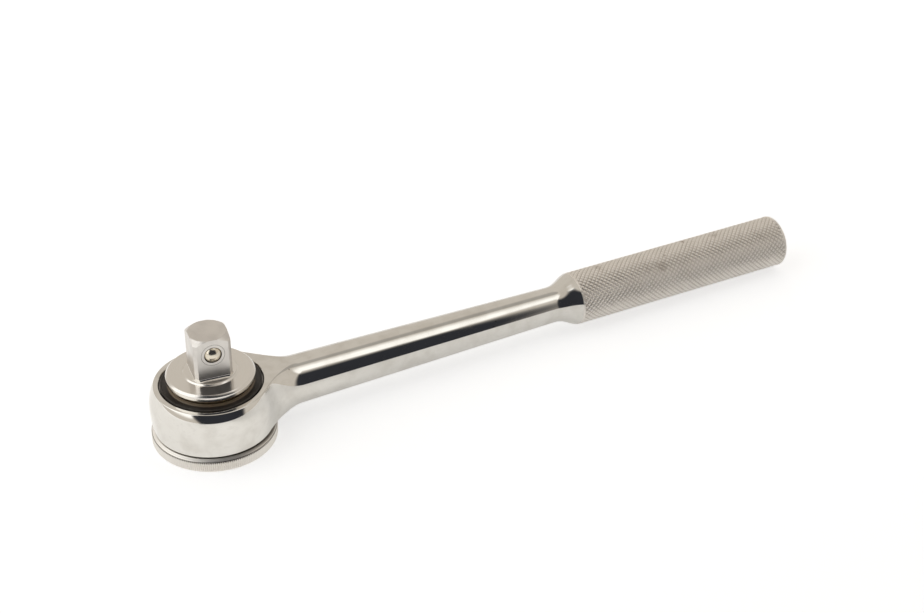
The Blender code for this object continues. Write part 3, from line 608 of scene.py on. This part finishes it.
def alongArcs(arcs):
    # spreads a column's points over its arcs, half by length and half by turn
    whole = sum(radius * (start - end) for centre, radius, start, end in arcs)
    shares = [((start - end) * (radius / whole + 1 / 180)) / 2 for centre, radius, start, end in arcs]
    spots = []
    for k in range(columnSteps + 1):
        want = k / columnSteps
        index = 0
        while index < len(arcs) - 1 and want > shares[index]:
            want -= shares[index]
            index += 1
        centre, radius, start, end = arcs[index]
        part = min(1.0, want / shares[index]) if shares[index] else 1.0
        spots.append((centre, radius, mix(start, end, part)))
    return spots


def knurledColumn(x, radii):
    column = []
    for k in range(columnSteps + 1):
        spot = polar(radii[k], 90 - 180 * k / columnSteps)
        column.append(Vector((x, spot.x, handle["axis"] + spot.y)))
    return column


def roundColumn(x, radius):
    return knurledColumn(x, [radius] * (columnSteps + 1))


def shoulderRadius(x):
    begin, end = handle["shoulder"]
    narrowing = (handle["shankRoot"] - handle["shankWaist"]) / begin
    shank = handle["shankWaist"] - narrowing * (x - begin)
    share = min(1.0, max(0.0, (x - begin) / (end - begin)))
    return mix(shank, handle["gripRadius"], ease(share ** handle["shoulderLag"]))


def knurlHeight(step, row):
    # 1 on a diamond's flat top and 0 in its grooves, four steps and rows to a diamond
    far = max(abs((step + row) % 4 - 2), abs((step - row) % 4 - 2))
    return min(1.0, handle["knurlSlope"] * (2 - far))


def gripColumns():
    columns = []
    edge = handle["endRound"]
    for k in range(endSteps + 1):
        spot = polar(edge, 90 * k / endSteps)
        columns.append(roundColumn(handle["reach"] - edge + spot.x, handle["gripRadius"] - edge + spot.y))
    start, end = handle["knurl"]
    fadeIn, fadeOut = handle["knurlFade"]
    rows = round((end - start) / handle["knurlLength"] * 4)
    for row in range(rows + 1):
        x = mix(end, start, row / rows)
        dip = handle["knurlDepth"] * (ease((x - start) / fadeIn) * ease((end - x) / fadeOut))
        size = shoulderRadius(x)
        sizes = [size - dip * (1 - knurlHeight(k, row)) for k in range(columnSteps + 1)]
        columns.append(knurledColumn(x, sizes))
    return columns


def shoulderColumns():
    columns = []
    for k in range(1, shoulderSteps + 1):
        x = mix(handle["knurl"][0], handle["shoulder"][0], k / shoulderSteps)
        columns.append(roundColumn(x, shoulderRadius(x)))
    return columns


def neckCurve():
    # the outline from shank to head as one curve whose bend sets in slowly
    begin = handle["shoulder"][0]
    taper = math.atan2(handle["shankRoot"] - handle["shankWaist"], begin)
    outward = Vector((math.sin(taper), math.cos(taper)))
    along = Vector((outward.y, -outward.x))
    fillet = handle["neckFillet"]
    lift = handle["shankRoot"] * math.cos(taper) + fillet
    reach = handle["headRadius"] + fillet
    centre = outward * lift + along * math.sqrt(reach ** 2 - lift ** 2)
    spoke = centre.normalized()
    end = spoke * handle["headRadius"]
    x = handle["neckStart"]
    start = Vector((x, handle["shankRoot"] - x * math.tan(taper)))
    slope = Vector((spoke.y, -spoke.x))
    gap = end - start
    aside = Vector((slope.y, -slope.x))
    meet = gap.dot(aside) / Vector((-along.x, -along.y)).dot(aside)
    corner = start - along * meet
    pullStart, pullEnd = handle["neckPull"]
    handles = (start, start.lerp(corner, pullStart), end.lerp(corner, pullEnd), end)
    return handles, taper, math.degrees(math.atan2(spoke.y, spoke.x))


def curvePoint(handles, share):
    a, b, c, d = handles
    rest = 1 - share
    point = a * rest ** 3 + b * 3 * rest ** 2 * share + c * 3 * rest * share ** 2 + d * share ** 3
    slope = (b - a) * rest ** 2 + (c - b) * 2 * rest * share + (d - c) * share ** 2
    return point, Vector((slope.y, -slope.x)).normalized()


def neckColumns():
    handles, taper, headStart = neckCurve()
    begin = handle["shoulder"][0]
    first = handles[0]
    columns = []
    for k in range(1, shankSteps + 1):
        x = mix(begin, first.x, k / shankSteps)
        columns.append(roundColumn(x, handle["shankRoot"] - x * math.tan(taper)))
    for k in range(1, neckSteps + 1):
        share = k / neckSteps
        point, outward = curvePoint(handles, share)
        near = ease(share)
        level = mix(handle["axis"], handle["belly"], near)
        crown = mix(point.y, handle["crownRound"], near)
        flank = point.y * (handle["flankRound"] / point.y) ** near
        top = mix(handle["axis"] + first.y, handle["headTop"], ease(share / flatShare))
        low = mix(handle["axis"] - first.y, handle["headFoot"], ease(share / flatShare))
        fade = 1 - (1 - share) ** handle["creaseFade"]
        edges = (mix(first.y, handle["rimRound"], fade), mix(first.y, handle["footRound"], fade))
        columns.append(sideColumn(point, outward, level, (crown, top), (flank, low), edges))
    return columns, headStart


def headColumns(start):
    crown = (handle["crownRound"], handle["headTop"])
    flank = (handle["flankRound"], handle["headFoot"])
    edges = (handle["rimRound"], handle["footRound"])
    columns = []
    for k in range(1, headSteps + 1):
        outward = polar(1, mix(start, 180, k / headSteps))
        point = outward * handle["headRadius"]
        columns.append(sideColumn(point, outward, handle["belly"], crown, flank, edges))
    return columns


def toothLoop():
    pitch = 360 / handle["teeth"]
    floor = math.degrees(handle["toothLand"] / 2 / handle["toothRoot"])
    mouth = pitch / 2 - math.degrees(handle["toothLand"] / 2 / handle["toothTip"])
    loop = []
    for k in range(handle["teeth"]):
        middle = k * pitch + restTurn
        loop.append(polar(handle["toothTip"], middle - mouth))
        loop.append(polar(handle["toothRoot"], middle - floor))
        loop.append(polar(handle["toothRoot"], middle + floor))
        loop.append(polar(handle["toothTip"], middle + mouth))
    return loop


def knurlQuad(bm, corners):
    # splits a knurl cell along its groove, or along the line that stays level
    heights = [Vector((0, v.co.y, v.co.z - handle["axis"] * mm)).length for v in corners]
    level = abs(heights[0] - heights[2]) - abs(heights[1] - heights[3])
    if abs(level) < levelSlack:
        level = heights[0] + heights[2] - heights[1] - heights[3]
    a, b, c, d = corners
    for three in ((a, b, c), (a, c, d)) if level < 0 else ((a, b, d), (b, c, d)):
        bm.faces.new(three).material_index = 1


def makeHandle():
    grip = gripColumns()
    neck, headStart = neckColumns()
    near = grip + shoulderColumns() + neck + headColumns(headStart)
    bm = bmesh.new()
    sides = []
    for flip in (1, -1):
        columns = []
        for column in near:
            columns.append([bm.verts.new((p.x * mm, flip * p.y * mm, p.z * mm)) for p in column])
        sides.append(columns)
    for columns in sides:
        for k, (first, second) in enumerate(zip(columns, columns[1:])):
            onGrip = k < len(grip) - 1
            for row in range(columnSteps):
                corners = (first[row], first[row + 1], second[row + 1], second[row])
                if onGrip and k >= endSteps:
                    knurlQuad(bm, corners)
                else:
                    bm.faces.new(corners).material_index = int(onGrip)
    left, right = sides
    bm.faces.new(left[0] + right[0][::-1]).material_index = 1
    neckStart = len(near) - headSteps - neckSteps
    level = neckStart + math.ceil(neckSteps * flatShare)
    for k in range(neckStart, level):
        for row in (0, -1):
            bm.faces.new((left[k - 1][row], left[k][row], right[k][row], right[k - 1][row]))
    weldPoints(bm)
    return bm


def closeHandle(bm):
    # the bore, its retaining groove and the ratchet teeth, joined to the skin by flat faces
    bm.verts.ensure_lookup_table()
    bm.edges.ensure_lookup_table()
    rims = [e for e in bm.edges if e.is_boundary]
    top = [e for e in rims if e.verts[0].co.z > handle["belly"] * mm]
    low = [e for e in rims if e.verts[0].co.z <= handle["belly"] * mm]
    steps = 4 * handle["teeth"]
    grooveFloor, grooveTop, deep = handle["groove"]
    bore = handle["bore"]
    chamfer = handle["boreChamfer"]
    profile = [
        (bore + chamfer, handle["headTop"]),
        (bore, handle["headTop"] - chamfer),
        (bore, grooveTop),
        (deep, grooveTop),
        (deep, grooveFloor),
        (bore, grooveFloor),
        (bore, handle["toothTop"]),
    ]
    loops = spinLoops(bm, profile, steps)
    teeth = []
    for level in (handle["toothTop"], handle["headFoot"]):
        teeth.append([bm.verts.new((p.x * mm, p.y * mm, level * mm)) for p in toothLoop()])
    joinLoops(bm, *teeth)
    flatFill(bm, loops[-1], teeth[0])
    for edges, loop in ((top, loops[0]), (low, teeth[1])):
        inside = [bm.edges.get((loop[k], loop[(k + 1) % steps])) for k in range(steps)]
        bmesh.ops.triangle_fill(bm, edges=edges + inside, use_beauty=True)


handleForm = makeHandle()
closeHandle(handleForm)
satin = gripFinish(handle["axis"], handle["gripRadius"], handle["knurlDepth"], handle["knurl"][1])
handlePiece = addPiece("handle_skin", handleForm, [polish, satin])
dress(handlePiece, "handle", "handle")
print("handle made with", len(handlePiece.data.polygons), "faces")


# reversing ring with a fine straight knurl

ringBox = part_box("reversing_ring")
ring = {
    "radius": ringBox[1].x / mm,
    "thick": ringBox[1].z / mm,
    "topChamfer": 1.0,
    "topBreak": (0.25, 0.05, 0.12),     # the chamfer's soft upper edge: in, out and down
    "footChamfer": 0.3,
    "footBreak": (0.3, 0.06, 0.4),      # its soft lower edge: in, up and how far the teeth reach
    "knurl": (0.5, 3.85),
    "knurlBack": (0.02, 0.1),           # where the chamfer meets the knurl: in and up
    "teeth": 190,
    "toothDepth": 0.3,
    "bore": 5.3,
    "floor": 1.2,
    "dowelFloor": 1.5,
    "dowelRoom": 0.3,
}


def makeRing():
    bm = bmesh.new()
    radius = ring["radius"]
    steps = 2 * ring["teeth"]
    low, high = ring["knurl"]
    inner = radius - ring["toothDepth"]
    chamfer = radius - ring["topChamfer"]
    foot = radius - ring["footChamfer"]
    breakIn, breakOut, breakDown = ring["topBreak"]
    footIn, footUp, footTeeth = ring["footBreak"]
    backIn, backUp = ring["knurlBack"]
    profile = [
        (0, ring["floor"], 0),
        (ring["bore"], ring["floor"], 0),
        (ring["bore"], ring["thick"], 0),
        (chamfer - breakIn, ring["thick"], 0),
        (chamfer + breakOut, ring["thick"] - breakDown, 0),
        (inner - backIn, ring["thick"] - ring["topChamfer"] + backUp, 0),
        (radius, high, 1),
        (radius, low, 1),
        (foot, footUp, footTeeth),
        (foot - footIn, 0, 0),
        (0, 0, 0),
    ]
    loops = []
    for size, level, knurled in profile:
        if size == 0:
            loops.append([bm.verts.new((0, 0, level * mm))] * steps)
            continue
        loop = []
        for k in range(steps):
            spot = polar(size - (k % 2) * knurled * ring["toothDepth"], 360 * k / steps)
            loop.append(bm.verts.new((spot.x * mm, spot.y * mm, level * mm)))
        loops.append(loop)
    for first, second in zip(loops, loops[1:]):
        joinLoops(bm, first, second)
    return bm


ringChrome = ringFinish(ring["radius"], ring["toothDepth"], *ring["knurl"])
ringPiece = addPiece("reversing_ring_skin", makeRing(), [ringChrome], sharpAngle=25.0, weighted=False)
for name in ("cam_dowel_1", "cam_dowel_2"):
    low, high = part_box(name)
    middle = (low + high) / 2
    room = (high.x - low.x) / 2 / mm + ring["dowelRoom"]
    cutAway(ringPiece, postForm(room, ring["dowelFloor"], ring["thick"] + cutClear, middle.xy))
dress(ringPiece, "reversing_ring", "reversing_ring")
print("reversing ring made")


# drive spindle: turned disc and boss, milled square with its staked ball hole

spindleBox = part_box("drive_spindle")
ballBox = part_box("socket_ball")
ball = {
    "centre": (ballBox[0] + ballBox[1]) / 2,
    "radius": (ballBox[1].z - ballBox[0].z) / 2,
    "steps": (64, 32),      # round and up
}
spindle = {
    "half": Vector(flatMount["pos_m"]).xy.length / mm,
    "top": spindleBox[1].z / mm,
    "tipHeight": 1.6,
    "tipRadius": 6.2,
    "tipEase": 0.15,        # mm below it that the corners begin to turn in
    "tipCurve": 0.4,        # 0 for a plain cone
    "tipBreak": (0.3, 0.12),    # its soft edge: in and down
    "corner": 8.25,
    "cornerFlare": 0.12,    # of the fillet at the foot
    "bossTop": 27.0,
    "bossFoot": 26.4,
    "bossSpread": 0.8,
    "bossSlope": (0.25, 0.2),   # its side: out at the foot and in at the top
    "bossEdge": (0.15, 0.2),    # its top: rise and distance to the corners
    "footFillet": 1.0,      # from the square's flats out to the boss
    "stake": (3.7, 4.15, 0.3),  # the ring pressed round the ball: radii and depth
    "disc": 14.9,
    "discFoot": 24.2,
    "discChamfer": 0.7,
    "collar": 13.0,
    "seam": 20.5,           # the turned upper part meets the pocketed body here
    "lip": 2.95,            # radius of the hole's mouth, which keeps the ball in
    "lipDepth": 0.4,
    "holeRoom": 0.3,
    "backWall": 1.5,
    "edgeRounds": {3: 0.2, 4: 0.2, 5: 0.15, 6: 0.15, 7: 0.2},  # at the points of the turned profile
}
edgeSteps = 3
footSteps = 6
tipSteps = 5
discSteps = 192
holeSteps = 64


def squareLoop(radius, level, half, flatSteps=12, cornerSteps=8):
    # the square with its corners turned to a radius
    turn = math.degrees(math.acos(min(1.0, half / radius)))
    loop = []
    for side in range(4):
        for k in range(flatSteps):
            angle = mix(-turn, turn, k / flatSteps)
            reach = min(half / math.cos(math.radians(angle)), radius)
            loop.append((*polar(reach, 90 * side + angle), level))
        for k in range(cornerSteps):
            loop.append((*polar(radius, 90 * side + mix(turn, 90 - turn, k / cornerSteps)), level))
    return loop


def squareLevels():
    # (corner radius, height, half width) from the boss up to the tip
    corner, half, fillet = spindle["corner"], spindle["half"], spindle["footFillet"]
    levels = []
    for k in range(footSteps + 1):
        spot = polar(fillet, 180 + 90 * (1 - k / footSteps))
        flare = fillet + spot.x
        radius = corner + spindle["cornerFlare"] * flare
        levels.append((radius, spindle["bossTop"] + fillet + spot.y, half + flare))
    tip = spindle["top"] - spindle["tipHeight"]
    levels.append((corner, tip - spindle["tipEase"], half))
    breakIn, breakDown = spindle["tipBreak"]
    curve = spindle["tipCurve"]
    for k in range(tipSteps + 1):
        share = k / tipSteps
        radius = mix(corner, spindle["tipRadius"] + breakIn, (1 - curve) * share + curve * ease(share))
        levels.append((radius, mix(tip, spindle["top"] - breakDown, share), half))
    levels.append((spindle["tipRadius"], spindle["top"], half))
    return levels


def makeSpindle():
    bm = bmesh.new()
    boss = spindle["corner"] + spindle["bossSpread"]
    disc = spindle["disc"]
    chamfer = spindle["discChamfer"]
    slopeOut, slopeIn = spindle["bossSlope"]
    rise, margin = spindle["bossEdge"]
    points = [
        (0, spindle["seam"]),
        (spindle["collar"], spindle["seam"]),
        (spindle["collar"], spindle["discFoot"]),
        (disc, spindle["discFoot"]),
        (disc, spindle["bossFoot"] - chamfer),
        (disc - chamfer, spindle["bossFoot"]),
        (boss + slopeOut, spindle["bossFoot"]),
        (boss - slopeIn, spindle["bossTop"] - rise),
        (spindle["corner"] + margin, spindle["bossTop"]),
    ]
    profile = softened(points, spindle["edgeRounds"], edgeSteps)
    loops = spinLoops(bm, [(p.x, p.y) for p in profile], discSteps)
    square = []
    for radius, level, half in squareLevels():
        square.append([bm.verts.new(Vector(p) * mm) for p in squareLoop(radius, level, half)])
    for k, (first, second) in enumerate(zip(square, square[1:])):
        joinLoops(bm, first, second, finish=0 if k < footSteps else 1)
    bm.faces.new(square[-1]).material_index = 1
    flatFill(bm, loops[-1], square[0])
    turn = Matrix.Rotation(math.radians(restTurn), 3, "Z")
    bmesh.ops.rotate(bm, verts=bm.verts, cent=(0, 0, 0), matrix=turn)
    return bm


def pocketedBody():
    # the hidden half of the spindle, with its pawl pockets, as the frame has it
    bm = bmesh.new()
    bm.from_mesh(nodes["drive_spindle"].data)
    weldPoints(bm)
    everything = bm.verts[:] + bm.edges[:] + bm.faces[:]
    cut = bmesh.ops.bisect_plane(
        bm,
        geom=everything,
        plane_co=(0, 0, spindle["seam"] * mm),
        plane_no=(0, 0, 1),
        clear_outer=True,
    )
    rim = [e for e in cut["geom_cut"] if isinstance(e, bmesh.types.BMEdge)]
    bmesh.ops.contextual_create(bm, geom=rim)
    return bm


def ballHole():
    # from outside the flat in past the lip, to the wall behind the spring
    lip = spindle["lip"]
    lipDepth = spindle["lipDepth"]
    roomy = ball["radius"] / mm + spindle["holeRoom"]
    depth = 2 * spindle["half"] - spindle["backWall"]
    profile = [
        (0, cutClear),
        (lip, cutClear),
        (lip, -lipDepth),
        (roomy, lip - lipDepth - roomy),
        (roomy, -depth),
        (0, -depth),
    ]
    bm = bmesh.new()
    spinLoops(bm, profile, holeSteps)
    return closeForm(bm)


def stakeRing():
    inner, outer, dent = spindle["stake"]
    profile = [(inner, cutClear), (outer, cutClear), ((inner + outer) / 2, -dent), (inner, cutClear)]
    bm = bmesh.new()
    spinLoops(bm, profile, holeSteps)
    return closeForm(bm)


def drillBallHole(piece):
    outward = Vector((*polar(1, restTurn - 90), 0))
    mouth = outward * spindle["half"] * mm + Vector((0, 0, ball["centre"].z))
    offLine = Matrix.Rotation(math.pi / holeSteps, 4, "Z")     # keeps the corners off the flat's own lines
    aim = outward.to_track_quat("Z", "Y").to_matrix().to_4x4() @ offLine
    for form in (ballHole(), stakeRing()):
        bmesh.ops.transform(form, matrix=Matrix.Translation(mouth) @ aim, verts=form.verts)
        cutAway(piece, form)


spindlePiece = addPiece("drive_spindle_skin", makeSpindle(), [turnedChrome, milledChrome])
drillBallHole(spindlePiece)
dress(spindlePiece, "spindle", "drive_spindle")
bodyPiece = addPiece("spindle_body_skin", pocketedBody(), [hardSteel], weighted=False)
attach(bodyPiece, "spindle")
print("drive spindle made")


# detent ball

def makeBall():
    bm = bmesh.new()
    around, high = ball["steps"]
    bmesh.ops.create_uvsphere(bm, u_segments=around, v_segments=high, radius=ball["radius"])
    bmesh.ops.translate(bm, verts=bm.verts, vec=ball["centre"])
    return bm


ballPiece = addPiece("socket_ball_skin", makeBall(), [ballSteel], weighted=False)
dress(ballPiece, "socket_ball", "socket_ball")
print("ball made")


# dust seal

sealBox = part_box("dust_seal")
seal = {
    "outer": sealBox[1].x / mm,
    "inner": 13.3,
    "foot": sealBox[0].z / mm,
    "top": sealBox[1].z / mm,
    "lip": 0.9,
    "dish": (1.3, 0.35),        # the hollow behind the lip: lip widths out and mm down
    "bank": (0.8, 0.3),         # and its far side, from the outer edge
    "brim": (0.3, 0.05),
    "edgeDrop": 0.2,
    "rounds": {1: 0.2, 2: 0.2, 3: 0.3, 4: 0.3, 5: 0.1},
    "steps": 144,
}


def makeSeal():
    bm = bmesh.new()
    inner, outer, foot, top = seal["inner"], seal["outer"], seal["foot"], seal["top"]
    lip = seal["lip"]
    dish, bank, brim = seal["dish"], seal["bank"], seal["brim"]
    points = [
        (inner, foot),
        (inner, top),
        (inner + lip, top),
        (inner + dish[0] * lip, top - dish[1]),
        (outer - bank[0] * lip, top - bank[1]),
        (outer - brim[0] * lip, top - brim[1]),
        (outer, top - seal["edgeDrop"]),
        (outer, foot),
        (inner, foot),
    ]
    profile = softened(points, seal["rounds"])
    spinLoops(bm, [(p.x, p.y) for p in profile], seal["steps"])
    return bm


sealPiece = addPiece("dust_seal_skin", makeSeal(), [sealRubber], weighted=False)
dress(sealPiece, "handle", "dust_seal")
print("seal made")


# inner pieces keep the frame's shapes

innerFinish = {
    "retaining_ring": springSteel,
    "socket_ball_spring": springSteel,
    "pawl_left": hardSteel,
    "pawl_right": hardSteel,
    "pawl_pin_left": hardSteel,
    "pawl_pin_right": hardSteel,
    "pawl_spring_left": springSteel,
    "pawl_spring_right": springSteel,
    "stop_pin": hardSteel,
    "index_ball": ballSteel,
    "index_spring": springSteel,
    "ring_clip": springSteel,
    "cam_plate": hardSteel,
    "cam_dowel_1": hardSteel,
    "cam_dowel_2": hardSteel,
}
for name, finish in innerFinish.items():
    nodes[name].data.materials.clear()
    nodes[name].data.materials.append(finish)
print("inner pieces finished")


# stage: pale paper floor, a plain pale room, two softboxes, a dim ceiling edge and the dark side in front

stage = {
    "floorTilt": -0.86,     # the tool rests on its ring's edge and on the end of its grip
    "floorEdge": 21.2,
    "floorDrop": 0.00002,   # metres of air under the ring's edge
    "floorSize": 8.0,
    "floorRoughness": 0.9,
    "floorTint": (1, 1, 1, 1),
    "floorColour": (0.62, 0.632, 0.651),
    "floorGlow": 0.62,      # what the paper lacks to white
    "mirrorGlow": (0.585, 0.40),     # the same in reflections, from left to right; its fall to the right is a painted shade
    "mirrorTint": (1.0, 0.98, 0.94, 1),
    "paintedShadeSpan": (-0.01, 0.06),       # where along the handle that painted shade sets in
    "paintedShadowReach": (0.004, 0.020),      # a painted contact shadow: the paper close under the tool mirrors darker
    "paintedShadowShare": 0.75,
    "paintedShadowFront": (-0.045, -0.035),   # where along the handle that begins and ends
    "paintedShadowBack": (0.02, 0.045),
    "roomColour": (0.70, 0.65, 0.585),
}
view = {
    "place": (-0.145024, -0.434700, 0.346807),
    "turn": (56.907, -0.7605, -28.398),
    "lens": 64.979,
    "sensor": 36,
    "nearest": 0.01,
}
cardSteps = (60, 40)
cards = {
    "darkSide": {
        "distance": 1.1,
        "azimuths": (-44, 67),      # from the camera's side, positive to its right
        "elevations": (-4, 82),
        "slope": 0.25,              # how its upper edge falls to the right
        "fades": (8, 9, 4, 16),     # left, right, low and high
        "leans": ((1.0, 16), (0.22, 44)),   # of its left and right edges, in below a height
        "colour": (0.034, 0.036, 0.043),
        "strength": 1.0,
    },
    "leftSoftbox": {
        "distance": 3.0,
        "azimuths": (-118, -34),
        "elevations": (5, 74),
        "slope": 0,
        "fades": (14, 6, 8, 12),
        "leans": ((0, 0), (0, 0)),
        "colour": (1.0, 0.99, 0.965),
        "strength": 1.5,
    },
    "rightSoftbox": {
        "distance": 3.0,
        "azimuths": (54, 120),
        "elevations": (44, 80),
        "slope": 0,
        "fades": (8, 44, 8, 16),
        "leans": ((0, 0), (0, 0)),
        "colour": (1.0, 0.985, 0.95),
        "strength": 1.4,
    },
    "ceilingEdge": {
        "distance": 3.0,
        "azimuths": (109, 155),
        "elevations": (22, 76),
        "slope": 0,
        "fades": (14, 18, 12, 8),
        "leans": ((0, 0), (0, 0)),
        "colour": (0.46, 0.435, 0.40),
        "strength": 1.0,
    },
}


def floorFinish():
    # paper that looks white; in the chrome it carries a painted shade that dims it away from the left
    # softbox, and a painted contact shadow close under the tool
    finish = newFinish("floor paper", stage["floorColour"], stage["floorRoughness"])
    mainShader(finish).inputs["Specular IOR Level"].default_value = 0.0
    path = addNode(finish, "LightPath", {}).outputs
    tint = blend(finish, path["Is Camera Ray"], stage["mirrorTint"], stage["floorTint"])
    along = axisPart(finish, "X")
    aside = maths(finish, "ABSOLUTE", axisPart(finish, "Y"))
    # painted shade: the paper mirrors darker towards the right
    shadedMirrorGlow = remap(finish, along, stage["paintedShadeSpan"], stage["mirrorGlow"])
    # painted contact shadow: the mirrored glow darkens close under the tool
    near = remap(finish, aside, stage["paintedShadowReach"], (1 - stage["paintedShadowShare"], 0.0))
    near = maths(finish, "MULTIPLY", near, remap(finish, along, stage["paintedShadowFront"], (0.0, 1.0)))
    near = maths(finish, "MULTIPLY", near, remap(finish, along, stage["paintedShadowBack"], (1.0, 0.0)))
    shadedMirrorGlow = maths(finish, "MULTIPLY", shadedMirrorGlow, maths(finish, "SUBTRACT", 1.0, near))
    shown = maths(finish, "MAXIMUM", path["Is Glossy Ray"], path["Is Transmission Ray"])
    glow = maths(finish, "MULTIPLY", path["Is Camera Ray"], stage["floorGlow"])
    glow = maths(finish, "ADD", glow, maths(finish, "MULTIPLY", shown, shadedMirrorGlow))
    feed(finish, Emission_Color=tint, Emission_Strength=glow)
    return finish


def makeFloor():
    bm = bmesh.new()
    bmesh.ops.create_grid(bm, x_segments=1, y_segments=1, size=stage["floorSize"] / 2)
    floor = addPiece("floor", bm, [floorFinish()], weighted=False)
    floor.rotation_euler.y = math.radians(stage["floorTilt"])
    floor.location = (stage["floorEdge"] * mm, 0, -stage["floorDrop"])


def cardFinish(name, card):
    # glows in the middle and thins out to nothing at its edges
    finish = newFinish(name, (0, 0, 0), roughness=1.0)
    shader = mainShader(finish)
    shader.inputs["Specular IOR Level"].default_value = 0.0
    shader.inputs["Emission Color"].default_value = (*card["colour"], 1)
    shader.inputs["Emission Strength"].default_value = card["strength"]
    cover = addNode(finish, "Attribute", {}, attribute_name="cover")
    feed(finish, Alpha=cover.outputs["Fac"])
    return finish


def makeCard(name, card):
    # a patch of a wide globe round the tool, there for light and reflections only
    front = math.degrees(math.atan2(view["place"][1], view["place"][0]))
    left, right, foot, head = card["fades"]
    across, high = cardSteps
    bm = bmesh.new()
    cover = bm.verts.layers.float.new("cover")
    rows = []
    for i in range(high + 1):
        elevation = mix(*card["elevations"], i / high)
        rise = polar(card["distance"], elevation)
        row = []
        for k in range(across + 1):
            azimuth = mix(*card["azimuths"], k / across)
            over = card["elevations"][1] - card["slope"] * (azimuth - card["azimuths"][0]) - elevation
            upDown = ease((elevation - card["elevations"][0]) / foot) * ease(over / head)
            leans = [slope * max(0, height - elevation) for slope, height in card["leans"]]
            sideways = ease((azimuth - card["azimuths"][0] - leans[0]) / left)
            sideways *= ease((card["azimuths"][1] - leans[1] - azimuth) / right)
            spot = polar(rise.x, front + azimuth)
            vert = bm.verts.new((spot.x, spot.y, rise.y))
            vert[cover] = upDown * sideways
            row.append(vert)
        rows.append(row)
    for first, second in zip(rows, rows[1:]):
        joinLoops(bm, first, second, closed=False)
    piece = addPiece(name, bm, [cardFinish(name, card)], weighted=False)
    piece.visible_camera = False


def makeWorld():
    world = bpy.data.worlds.new("studio")
    bpy.context.scene.world = world
    world.use_nodes = True
    room = world.node_tree.nodes["Background"]
    room.inputs["Color"].default_value = (*stage["roomColour"], 1)
    room.inputs["Strength"].default_value = 1.0


def makeCamera():
    data = bpy.data.cameras.new("camera")
    data.lens = view["lens"]
    data.sensor_width = view["sensor"]
    data.clip_start = view["nearest"]
    camera = bpy.data.objects.new("camera", data)
    camera.location = view["place"]
    camera.rotation_euler = [math.radians(a) for a in view["turn"]]
    bpy.context.scene.collection.objects.link(camera)
    bpy.context.scene.camera = camera


for name, card in cards.items():
    makeCard(name, card)
makeFloor()
makeWorld()
makeCamera()
bpy.context.scene.view_settings.view_transform = "Standard"
print("stage set")
